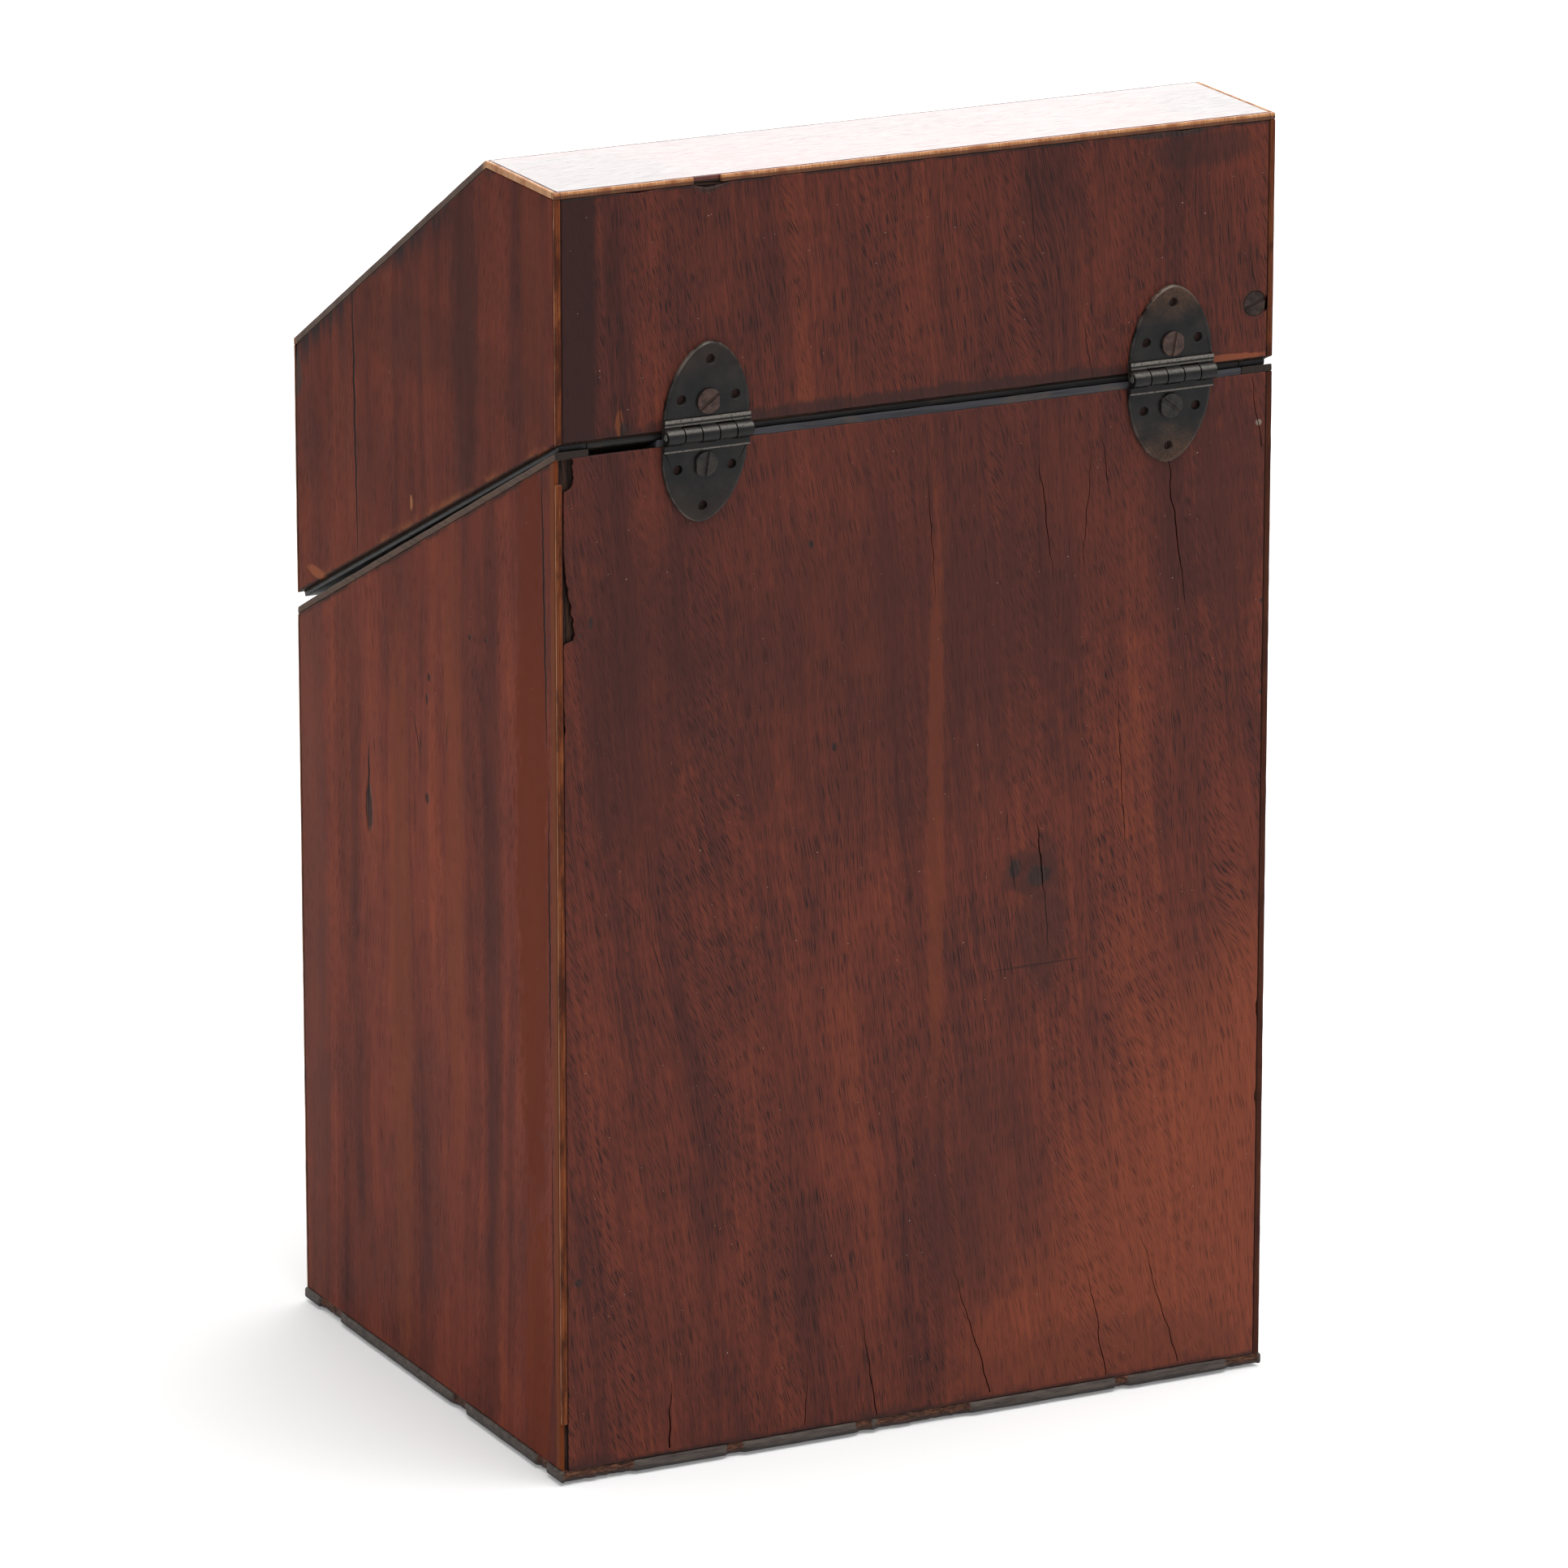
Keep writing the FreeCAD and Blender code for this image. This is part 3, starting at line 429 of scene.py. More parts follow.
def foot_grey():
    """Foot edging: grey brown skin that has broken away to fibrous brown wood, with painted shade along its
    underside.
    """
    wood = Finish("foot_worn_grey")
    flat = wood.lay("z", "x", "y")
    skin = wood.cloud(flat, (1.2, 12, 2), 4.0, 0.7)
    fibre = wood.cloud(flat, (0.5, 3.2, 0.8), 4.0, 0.75)
    gone = wood.add("ShaderNodeAttribute", attribute_name="broken").outputs["Fac"]
    grey = wood.tones(skin, (0.30, (0.031, 0.024, 0.021)), (0.60, (0.094, 0.074, 0.063)))
    raw = wood.tones(fibre, (0.36, (0.010, 0.006, 0.005)), (0.50, (0.075, 0.028, 0.016)),
                     (0.68, (0.22, 0.095, 0.05)))
    lit = wood.blend(wood.share(wood.calc("MULTIPLY_ADD", skin, 0.5, gone), 0.55, 0.85), grey, raw)
    # Painted shade: the strip darkens towards the floor, where shade falls under it.
    low = wood.calc("MULTIPLY_ADD", skin, 0.8, wood.places()[2])
    lit = wood.over(lit, (0.024, 0.022, 0.024), wood.share(low, 3.1, 2.0), 0.8)
    wood.dent(fibre, 0.25)
    return wood.done(lit, 0.62, Specular_IOR_Level=0.2)


def aged_bronze():
    """Hinge bronze: near black, rubbed brown at the tips, and pale on the rims and ridges, rubbed metal with
    painted highlights.
    """
    metal = Finish("bronze_dark")
    flat = metal.lay("x", "z", "y")
    cloudy = metal.cloud(flat, (6, 6, 6), 4.0, 0.6)
    grit = metal.cloud(flat, (0.6, 0.6, 0.6), 3.0, 0.6)
    x, y, z = metal.places()
    rise = metal.calc("SUBTRACT", z, PIN_HEIGHT)
    lit = metal.tones(cloudy, (0.30, (0.0060, 0.0057, 0.0060)), (0.66, (0.0150, 0.0136, 0.0130)))
    tip = metal.share(metal.calc("MULTIPLY_ADD", cloudy, 16, metal.calc("ABSOLUTE", rise)), 21, 33)
    rust = metal.times(metal.share(grit, 0.22, 0.74), metal.share(x, 20, -20))
    lit = metal.over(lit, (0.082, 0.038, 0.020), tip, metal.calc("MULTIPLY_ADD", rust, 0.7, 0.12))
    # Painted highlight: the rims are paler where their rounded bevel would catch the light, over rubbed
    # metal.
    rim = metal.times(metal.share(y, 91.44, 91.10), metal.share(cloudy, 0.36, 0.58))
    lit = metal.over(lit, (0.19, 0.155, 0.13), rim, metal.calc("MULTIPLY_ADD", tip, 0.45, 0.15))
    # Painted highlights along the raised ridges beside the knuckles, partly their rubbed metal.
    proud = metal.share(y, 91.75, 91.95)
    for middle, half, weight in ((4.3, 0.7, 0.75), (-4.5, 0.35, 0.6), (1.6, 0.8, 0.30), (3.0, 0.3, 0.5)):
        ridge_rub_and_highlight = metal.times(metal.near(rise, middle, half, 0.4), proud, metal.share(grit, 0.26, 0.52))
        lit = metal.over(lit, (0.23, 0.205, 0.18), ridge_rub_and_highlight, weight)
    metal.dent(grit, 0.035)
    metal.dent(cloudy, 0.06)
    rough = metal.calc("MULTIPLY_ADD", cloudy, 0.20, 0.22)
    return metal.done(lit, rough, Metallic=0.25, Specular_IOR_Level=0.22)


def screw_metal(name, dark, light):
    """Dull screw metal, spotted with rust."""
    metal = Finish(name)
    flat = metal.lay("x", "z", "y")
    rust = metal.cloud(flat, (2.2, 2.2, 2.2), 4.0, 0.65)
    grit = metal.cloud(flat, (0.35, 0.35, 0.35), 2.0)
    lit = metal.tones(rust, (0.36, dark), (0.62, light))
    metal.dent(grit, 0.03)
    metal.dent(rust, 0.05)
    rough = metal.calc("MULTIPLY_ADD", rust, 0.3, 0.30)
    return metal.done(lit, rough, Metallic=0.3, Specular_IOR_Level=0.25)


def old_brass():
    """Brass of the lock: brushed and tarnished in clouds."""
    metal = Finish("brass_old")
    flat = metal.lay("x", "z", "y")
    tarnish = metal.cloud(flat, (7, 9, 7), 4.0, 0.6)
    brush = metal.cloud(flat, (9, 0.25, 0.4), 2.0)
    lit = metal.tones(tarnish, (0.34, (0.16, 0.095, 0.035)), (0.62, (0.52, 0.34, 0.115)))
    metal.dent(brush, 0.02)
    return metal.done(lit, metal.calc("MULTIPLY_ADD", tarnish, -0.3, 0.5), Metallic=0.9)


def bare_pine(name, lie):
    """Carcase pine, darkened by age: broad growth rings, a rough sawn face, and painted shade on the outer
    faces under the veneers, which show where bites are taken out.
    """
    wood = Finish(name)
    flat = wood.lay(*lie)
    bent = wood.wander(flat, 18, wood.cloud(flat, (60, 160, 60), 2.0))
    ring = wood.cloud(bent, (5.5, 300, 11), 3.0, 0.6)
    hair = wood.cloud(bent, (0.5, 30, 1), 3.0, 0.65)
    grime = wood.cloud(flat, (30, 40, 30), 4.0, 0.6)
    lit = wood.tones(ring, (0.32, (0.235, 0.122, 0.057)), (0.54, (0.185, 0.088, 0.040)),
                     (0.70, (0.125, 0.055, 0.025)))
    lit = wood.over(lit, (0.10, 0.045, 0.020), wood.share(hair, 0.5, 0.72), 0.5)
    lit = wood.over(lit, (0.070, 0.038, 0.022), wood.share(grime, 0.50, 0.72), 0.6)
    # Painted shade on the boards' outer faces, which show only where a veneer is bitten away.
    x, y, _ = wood.places()
    outer = wood.calc("MAXIMUM", wood.calc("SUBTRACT", wood.calc("ABSOLUTE", x), 112.3),
                     wood.calc("SUBTRACT", wood.calc("ABSOLUTE", y), 88.3))
    glue = wood.tones(hair, (0.42, (0.004, 0.003, 0.003)), (0.62, (0.050, 0.024, 0.016)))
    lit = wood.blend(wood.share(outer, -0.2, 0.2), lit, glue)
    wood.dent(hair, 0.08)
    wood.dent(ring, 0.10)
    return wood.done(lit, 0.72, Specular_IOR_Level=0.1)


def green_baize():
    """Felted wool cloth: short crossing fibres, rubbed thin in patches."""
    cloth = Finish("baize_green")
    flat = cloth.lay("x", "y", "z")
    nap = cloth.cloud(flat, (0.35, 0.9, 0.5), 4.0, 0.7, 35)
    weft = cloth.cloud(flat, (0.9, 0.35, 0.5), 4.0, 0.7, -20)
    thin = cloth.cloud(flat, (22, 26, 20), 3.0)
    lit = cloth.tones(cloth.mixed(0.0, (weft, 0.5), (nap, 0.5)),
                      (0.34, (0.010, 0.030, 0.016)), (0.66, (0.032, 0.085, 0.045)))
    lit = cloth.blend(cloth.share(thin, 0.52, 0.72), lit, (0.055, 0.075, 0.040))
    cloth.dent(nap, 0.15)
    cloth.dent(weft, 0.15)
    return cloth.done(lit, 0.95, Sheen_Weight=0.4)


def cad_shape(node):
    """A copy of a CAD node with its triangles joined into flat faces."""
    shape = bmesh.new()
    shape.from_mesh(frame["nodes"][node].data)
    bmesh.ops.remove_doubles(shape, verts=shape.verts[:], dist=2e-6)
    bmesh.ops.dissolve_limit(shape, angle_limit=math.radians(0.5), verts=shape.verts[:], edges=shape.edges[:])
    return shape


def put(shape, name, finish, node, crease=38, flat=4.0):
    """Makes a shape the piece that stands for a CAD node and rides with it.

    The piece stays inside the node's box, and its faces over flat square millimetres stay flat.
    """
    low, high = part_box(node)
    for vert in shape.verts:
        vert.co = [min(max(vert.co[i], low[i]), high[i]) for i in range(3)]
    bmesh.ops.dissolve_degenerate(shape, dist=3e-6, edges=shape.edges[:])
    mesh = bpy.data.meshes.new(name)
    shape.to_mesh(mesh)
    shape.free()
    mesh.materials.append(finish)
    mesh.shade_smooth()
    mesh.set_sharp_from_angle(angle=math.radians(crease))
    for face in mesh.polygons:
        face.use_smooth = face.area < flat * MM * MM
    piece = bpy.data.objects.new(name, mesh)
    bpy.context.scene.collection.objects.link(piece)
    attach(piece, frame["nodes"][node]["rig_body"])
    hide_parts(node)
    return piece


def paint(finish, *nodes):
    """Gives CAD nodes that keep their own shape a finish."""
    for node in nodes:
        mesh = frame["nodes"][node].data
        mesh.materials.clear()
        mesh.materials.append(finish)


def sharp_edges(shape, degrees):
    return [edge for edge in shape.edges
            if len(edge.link_faces) == 2 and edge.calc_face_angle(0) > math.radians(degrees)]


def round_edges(shape, edges, radius, segments, clamp=True):
    bmesh.ops.bevel(shape, geom=edges, offset=radius * MM, offset_type="OFFSET", segments=segments,
                    profile=0.5, affect="EDGES", material=-1, clamp_overlap=clamp)


def close_holes(shape):
    bmesh.ops.holes_fill(shape, edges=[edge for edge in shape.edges if edge.is_boundary], sides=0)


def eased(shape, radius, segments=2, degrees=30):
    """Rounds the edges of a shape that are sharper than this."""
    round_edges(shape, sharp_edges(shape, degrees), radius, segments)
    return shape


def lumps(point, size):
    """A steady noise from -1 to 1, with lumps of this size."""
    return noise.noise(point / (size * MM))


def unrest(point, size):
    """A steady three way noise for worn edges, with lumps of this size."""
    return noise.noise_vector(point / (size * MM) + Vector((11.3, 4.7, 8.1)))


def slice_along(shape, axis, low, high, step):
    """Cuts a long shape across at even steps, so that it can wear."""
    for i in range(int((high - low) / step)):
        bmesh.ops.bisect_plane(shape, geom=shape.verts[:] + shape.edges[:] + shape.faces[:], dist=1e-7,
                               plane_co=axis * (low + step * (i + 0.5)) * MM, plane_no=axis)
    return shape


def drop_stretch(shape, axis, low, high, where):
    """Takes a stretch out of a long shape, where the test holds, and closes the ends."""
    for at in (low, high):
        geom = [vert for vert in shape.verts if where(vert.co)]
        geom += [edge for edge in shape.edges if all(where(vert.co) for vert in edge.verts)]
        geom += [face for face in shape.faces if all(where(vert.co) for vert in face.verts)]
        bmesh.ops.bisect_plane(shape, geom=geom, dist=1e-7, plane_co=axis * at * MM, plane_no=axis)
    lost = [vert for vert in shape.verts if where(vert.co)
            and low * MM - NEAR_ZERO < vert.co.dot(axis) < high * MM + NEAR_ZERO]
    inner = [face for face in shape.faces if where(face.calc_center_median())
             and low * MM < face.calc_center_median().dot(axis) < high * MM]
    bmesh.ops.delete(shape, geom=inner, context="FACES")
    loose = [vert for vert in lost if vert.is_valid and not vert.link_faces]
    bmesh.ops.delete(shape, geom=loose, context="VERTS")
    close_holes(shape)
    return shape


def worn_strip(shape, axis, ends, step, radius, wear, lump, segments=2):
    """A long strip with eased edges, cut across at even steps and worn unevenly."""
    slice_along(eased(shape, radius, segments), axis, *ends, step)
    for vert in shape.verts:
        vert.co += unrest(vert.co, lump) * wear * MM
    return shape


def chip_depth(profile, height):
    """Depth of the chips along an edge at one height, from places and depths that rise in height."""
    for (low, first), (high, second) in zip(profile, profile[1:]):
        if low <= height <= high:
            return first + (second - first) * (height - low) / (high - low)
    return 0.0


def crack_sides(start, end, width, low, high):
    """Both sides of a crack that wanders along the grain, up one and down the other, within two corners."""
    steps = int((end[1] - start[1]) / 1.5)
    up, down = [], []
    for i in range(steps + 1):
        part = i / steps
        height = start[1] + (end[1] - start[1]) * part
        drift = 0.8 * noise.noise(Vector((height / 6.5, start[0], 3.3)))
        drift += 0.3 * noise.noise(Vector((height / 2.2, start[0], 7.7)))
        across = start[0] + (end[0] - start[0]) * part + drift
        half = 2 * width * part * (1 - part) + 0.03
        if low[0] < across - half and across + half < high[0] and low[1] < height < high[1]:
            up.append((across - half, height))
            down.append((across + half, height))
    return up + down[::-1]


def leaf_outline(node, outward, step):
    """The outline of a node's outer face, cut into short steps."""
    source = cad_shape(node)
    outer = [face for face in source.faces if face.normal.dot(outward) > 0.99]
    leaf = bmesh.new()
    corners = {}
    for face in outer:
        for edge in face.edges:
            if sum(other in outer for other in edge.link_faces) == 1:
                for vert in edge.verts:
                    if vert not in corners:
                        corners[vert] = leaf.verts.new(vert.co)
                leaf.edges.new([corners[vert] for vert in edge.verts])
    source.free()
    for edge in leaf.edges[:]:
        cuts = int(edge.calc_length() / (step * MM))
        if cuts:
            bmesh.ops.subdivide_edges(leaf, edges=[edge], cuts=cuts)
    return leaf


def fray_outline(leaf, outward, low, high, bites, chips):
    """Wears an outline inwards, with bites at some places and chips along its edge at the highest x."""
    centre = (low + high) / 2
    for vert in leaf.verts:
        inward = centre - vert.co
        inward -= outward * inward.dot(outward)
        shift = Vector()
        for place, reach, depth, way in bites:
            gap = (vert.co - Vector(place) * MM).length / (reach * MM)
            if gap < 1:
                ragged = 0.6 + 0.9 * lumps(vert.co, 4.1) + 0.5 * lumps(vert.co, 1.3)
                shift += way * depth * MM * (1 - gap * gap) * max(0.0, ragged)
        if chips and vert.co.x > high.x - NEAR_ZERO:
            ragged = 1 + 0.30 * lumps(vert.co, 1.6) + 0.15 * lumps(vert.co, 0.7)
            shift += LEFT * chip_depth(chips, vert.co.z / MM) * ragged * MM
        worn = unrest(vert.co, 4) * 0.5 + unrest(vert.co, 22)
        worn -= outward * worn.dot(outward)
        worn = inward.normalized() * abs(worn.dot(inward.normalized()))
        vert.co += worn * LEAF_FRAY * MM * FRAY_SHARE + shift


def worn_leaf(node, outward, bites=(), step=2.4, chips=(), cracks=()):
    """A veneer leaf from the outer face of its node, with a frayed, rounded edge and bites out of it."""
    leaf = leaf_outline(node, outward, step)
    low = Vector([min(vert.co[i] for vert in leaf.verts) for i in range(3)])
    high = Vector([max(vert.co[i] for vert in leaf.verts) for i in range(3)])
    if chips:
        torn = high.x - chips[-1][1] * TORN_REACH * MM
        for vert in [vert for vert in leaf.verts
                     if vert.co.z > high.z - NEAR_ZERO and torn < vert.co.x < high.x - NEAR_ZERO]:
            bmesh.utils.vert_collapse_edge(vert, vert.link_edges[0])
    fray_outline(leaf, outward, low, high, bites, chips)

    cracked = set()
    limits = [(corner.x / MM + inset, corner.z / MM + inset)
              for corner, inset in ((low, CRACK_INSET), (high, -CRACK_INSET))]
    for start, end, width in cracks:
        loop = [leaf.verts.new((x * MM, low.y, z * MM)) for x, z in crack_sides(start, end, width, *limits)]
        for first, second in zip(loop, loop[1:] + loop[:1]):
            leaf.edges.new((first, second))
        cracked.update(loop)
    bmesh.ops.triangle_fill(leaf, edges=leaf.edges[:], use_beauty=True, normal=outward)
    bmesh.ops.dissolve_limit(leaf, angle_limit=math.radians(0.5), verts=[],
                             edges=[edge for edge in leaf.edges if not edge.is_boundary])
    for face in leaf.faces:
        if face.normal.dot(outward) < 0:
            face.normal_flip()
    top = leaf.faces[:]

    rim = [edge for edge in leaf.edges if edge.is_boundary]
    grown = bmesh.ops.extrude_edge_only(leaf, edges=rim)["geom"]
    for vert in [part for part in grown if isinstance(part, bmesh.types.BMVert)]:
        pit = any(edge.other_vert(vert) in cracked for edge in vert.link_edges)
        vert.co -= outward * (CRACK_SHARE if pit else 1.0) * LEAF_THICK * MM
    close_holes(leaf)
    bmesh.ops.recalc_face_normals(leaf, faces=leaf.faces[:])
    if top[0].normal.dot(outward) < 0:
        bmesh.ops.reverse_faces(leaf, faces=leaf.faces[:])
    round_edges(leaf, [edge for edge in rim if not cracked.intersection(edge.verts)], LEAF_ROUND, 3)
    return leaf


def nail_holes(way):
    """Places on the back, and sizes, of the holes seen through the hinge leaves above or below the pins."""
    return [((middle + across + skew * way * rise, PIN_HEIGHT + way * rise), NAIL_HOLE_MARK)
            for middle, skew in HINGE_SKEW.items() for across, rise in NAIL_HOLES]


def skewed(shape, skew):
    """Leans a hinge leaf or its screw a little to one side, away from the pin, as it was cast."""
    for vert in shape.verts:
        rise = vert.co.z - PIN_HEIGHT * MM
        if abs(rise) > KNUCKLE_REACH * MM:
            vert.co.x += skew * rise
    return shape


def leaf_place(vert, middle):
    """A point of a hinge leaf, sideways from the hinge's middle and up from its pin."""
    return vert.co.x / MM - middle, vert.co.z / MM - PIN_HEIGHT


def by_nail(vert, middle):
    across, rise = leaf_place(vert, middle)
    return any(math.hypot(across - x, abs(rise) - z) <= NAIL_CLEAR for x, z in NAIL_HOLES)


def leaf_rim(shape, middle):
    """The sharp edges round a hinge leaf, clear of its raised band and its holes."""
    def outer(vert):
        across, rise = leaf_place(vert, middle)
        by_screw = math.hypot(across, abs(rise) - SCREW_SEAT) <= SCREW_CLEAR
        return abs(rise) > HINGE_STEP - 0.02 and not by_nail(vert, middle) and not by_screw

    def climbs(edge):
        return max(abs(leaf_place(vert, middle)[1]) for vert in edge.verts) > HINGE_STEP + 0.05

    def level(edge):
        return abs(edge.verts[0].co.y - edge.verts[1].co.y) < 1e-5

    return [edge for edge in sharp_edges(shape, RIM_SHARP)
            if all(outer(vert) for vert in edge.verts) and climbs(edge) and level(edge)]


def rounded_leaf(shape, middle):
    """Fills the sides of a hinge leaf out to half an oval, from its raised band to its tip."""
    bmesh.ops.subdivide_edges(shape, edges=leaf_rim(shape, middle), cuts=3)
    for vert in {vert for edge in leaf_rim(shape, middle) for vert in edge.verts}:
        across, rise = leaf_place(vert, middle)
        step = math.copysign(HINGE_STEP, rise)
        wide = abs(across / HINGE_WIDE) ** HINGE_FULLNESS
        tall = abs((rise - step) / HINGE_LONG) ** HINGE_FULLNESS
        reach = (wide + tall) ** (1 / HINGE_FULLNESS)
        vert.co.x = (middle + across / reach) * MM
        vert.co.z = (PIN_HEIGHT + step + (rise - step) / reach) * MM
    rim = [edge for edge in leaf_rim(shape, middle) if edge.verts[0].co.y > (HINGE_FACE - FACE_SLACK) * MM]
    round_edges(shape, rim, 1.0, 4, clamp=False)
    holes = [edge for edge in sharp_edges(shape, RIM_SHARP) if by_nail(edge.verts[0], middle)
             and all(abs(vert.co.y - HINGE_FACE * MM) < FACE_SLACK * MM for vert in edge.verts)]
    round_edges(shape, holes, 0.25, 2)
    return shape


def turned(shape, degrees):
    """Turns a screw about its own length."""
    middle = sum((vert.co for vert in shape.verts), Vector()) / len(shape.verts)
    turn = Matrix.Rotation(math.radians(degrees), 3, "Y")
    bmesh.ops.rotate(shape, verts=shape.verts[:], cent=middle, matrix=turn)
    return shape


def make_case_panels():
    """The case's four veneers, each with its own marks. The back one is cracked, and torn at a corner."""
    # The pale levels paint the light on each face as well as its tone: the back darker, the side lighter.
    back = mahogany(
        "mahogany_case_back", ("x", "z", "y"), lean=11, gloss=0.46, pale=0.86, crack_shade_level=90,
        splits=[((-42.4, 138), (-40.9, 160), 0.48), ((-31.2, 158), (-30.0, 171), 0.70),
                ((87.0, 165), (96.0, 176), 0.32), ((79.0, 142), (87.5, 166), 0.30),
                ((-28.8, 176), (-28.4, 184), 0.4)],
        scratches=[((-60.0, 135.6), (-17.0, 135.4), 1.1)],
        knots=[((-38.9, 162.2), (4.2, 3.8)), ((-31.4, 165.2), (2.3, 3.5)), ((-111.3, 235.8), (0.9, 0.9)),
               ((-111.5, 208.2), (0.9, 0.9)), ((103.6, 255.6), (0.8, 2.4)), ((106.8, 252.3), (0.7, 0.7)),
               ((34.5, 270.2), (1.0, 1.6)), ((27.1, 209.6), (0.9, 1.6)), ((108.4, 61.0), (1.4, 1.4)),
               *nail_holes(-1)],
        stains=[((-40.5, 150), (9, 30), (0.052, 0.015, 0.011), 0.6),
                ((90, 230), (22, 60), (0.045, 0.012, 0.009), 0.5),
                ((10, 225), (70, 62), (0.050, 0.013, 0.010), 0.40),
                ((-100, 262), (14, 45), (0.048, 0.013, 0.01), 0.5),
                # Painted shade: the upper part of the back is darker, where less light reaches it than near
                # the floor.
                ((0, 300), (150, 110), (0.048, 0.012, 0.009), 0.34),
                ((-5.5, 185), (3.2, 110), (0.15, 0.034, 0.014), 0.48),
                ((-35.6, 164), (11, 8), (0.045, 0.014, 0.011), 0.7),
                ((-62, 10), (66, 17), (0.060, 0.016, 0.012), 0.32),
                ((-20, 70), (26, 44), (0.060, 0.016, 0.012), 0.4),
                ((-109.7, 289.2), (1.2, 1.2), (0.22, 0.18, 0.14), 0.8)],
        hems=[(0.0, 4.4, 2.0, (0.018, 0.008, 0.007), 0.30, 0.50),
              (0.0, 4.4, 6.0, (0.040, 0.013, 0.011), 0.42, 0.70)],
        # Painted light: the lower corner at the lowest x is lighter and warmer, as if lit from the floor.
        glow=(-0.9, -0.62, 4, 66))
    put(worn_leaf("case_veneer_back", BACK,
                  bites=[((-112, 90, 111), 4, 1.0, RIGHT), ((-112, 90, 84), 3, 0.7, RIGHT),
                         ((112, 90, 228), 5, 0.6, LEFT)],
                  chips=((250.4, 0.1), (251.2, 3.5), (256, 2.9), (263, 1.8), (270, 0.8), (276, 0.2),
                         (294.6, 0.2), (295.4, 2.8), (305, 3.2)),
                  cracks=[((80.8, -18), (79.0, 26), 0.52), ((6.8, -26), (18.4, 37), 0.30),
                          ((-35.3, -30), (-11.2, 49), 0.32), ((38.4, -18), (35.3, 24), 0.20),
                          ((-69.0, -26), (-55.6, 42), 0.28), ((-97.0, -27), (-73.5, 48), 0.26),
                          ((-43.0, 251), (-38.2, 288), 0.26), ((-52.8, 252), (-55.0, 288), 0.18),
                          ((-67.0, 164), (-64.4, 216), 0.20), ((-86.4, 236), (-79.0, 290), 0.34),
                          ((-5.2, 248), (-2.4, 289), 0.18), ((-113.6, 262), (-107.0, 306), 0.24),
                          ((-61.6, 272), (-58.4, 292), 0.18), ((-41.2, 155), (-38.2, 179), 0.40)],
                  step=0.8),
        "case_back_leaf", back, "case_veneer_back")
    right = mahogany(
        "mahogany_case_right", ("y", "z", "x"), lean=0, gloss=0.30, shine=0.012, pale=1.22, pore=0.5,
        comb=0.45,
        splits=[((83.0, 212), (80.4, 306), 1.3), ((84.0, 120), (83.6, 215), 1.2),
                ((85.4, 20), (84.2, 118), 0.7), ((-40.2, 163), (-39.4, 190), 1.3),
                ((-8.0, 207), (-3.0, 193), 0.7), ((-3.4, 193), (-2.6, 202), 0.6),
                ((15.0, 198), (16.2, 212), 0.5)],
        scratches=[((40.0, 221.4), (81.0, 223.4), 0.34), ((36.0, 273.4), (56.0, 275.4), 0.2)],
        knots=[((-39.8, 168.4), (3.0, 8.5)), ((3.5, 219.2), (1.3, 1.6)), ((1.8, 212.4), (1.0, 2.2)),
               ((31.7, 238.2), (1.3, 1.2)), ((42.4, 240.1), (1.0, 1.0)), ((1.2, 182.2), (1.5, 2.0))],
        # The first stain is a painted sheen: a paler, greyer band down the front of the side, the polish's
        # veil of reflection.
        stains=[((-82, 150), (14, 190), (0.10, 0.034, 0.026), 0.55),
                ((73, 190), (13, 150), (0.126, 0.020, 0.0045), 0.85),
                ((74, 36), (11, 52), (0.150, 0.026, 0.0060), 0.55),
                ((-18, 110), (9, 150), (0.2, 0.05, 0.02), 0.45),
                ((46, 160), (7, 180), (0.055, 0.015, 0.011), 0.4),
                ((20, 190), (8, 120), (0.19, 0.046, 0.018), 0.4),
                ((0, 285), (120, 60), (0.080, 0.018, 0.011), 0.22),
                ((-55, 200), (10, 120), (0.06, 0.017, 0.012), 0.35)],
        hems=[(0.494, 259.4, -2.2, (0.026, 0.013, 0.010), 0.36, 0.52)],
        edge=(86.6, 2.6, (0.15, 0.040, 0.015)))
    put(worn_leaf("case_veneer_right", RIGHT), "case_right_leaf", right, "case_veneer_right")
    left = mahogany("mahogany_case_left", ("y", "z", "x"), lean=2, gloss=0.32, pale=1.1, pore=0.5,
                    splits=[((-30, -20), (-26, 48), 0.4), ((52, 190), (49, 300), 0.3)],
                    knots=[((20, 120), (3, 7))])
    put(worn_leaf("case_veneer_left", LEFT), "case_left_leaf", left, "case_veneer_left")
    front = mahogany("mahogany_case_front", ("x", "z", "y"), lean=-4, gloss=0.30, pale=1.15, pore=0.6,
                     splits=[((40, -14), (37, 30), 0.35)],
                     stains=[((0, 100), (14, 120), (0.17, 0.04, 0.016), 0.5)])
    put(worn_leaf("case_veneer_front", FRONT), "case_front_leaf", front, "case_veneer_front")


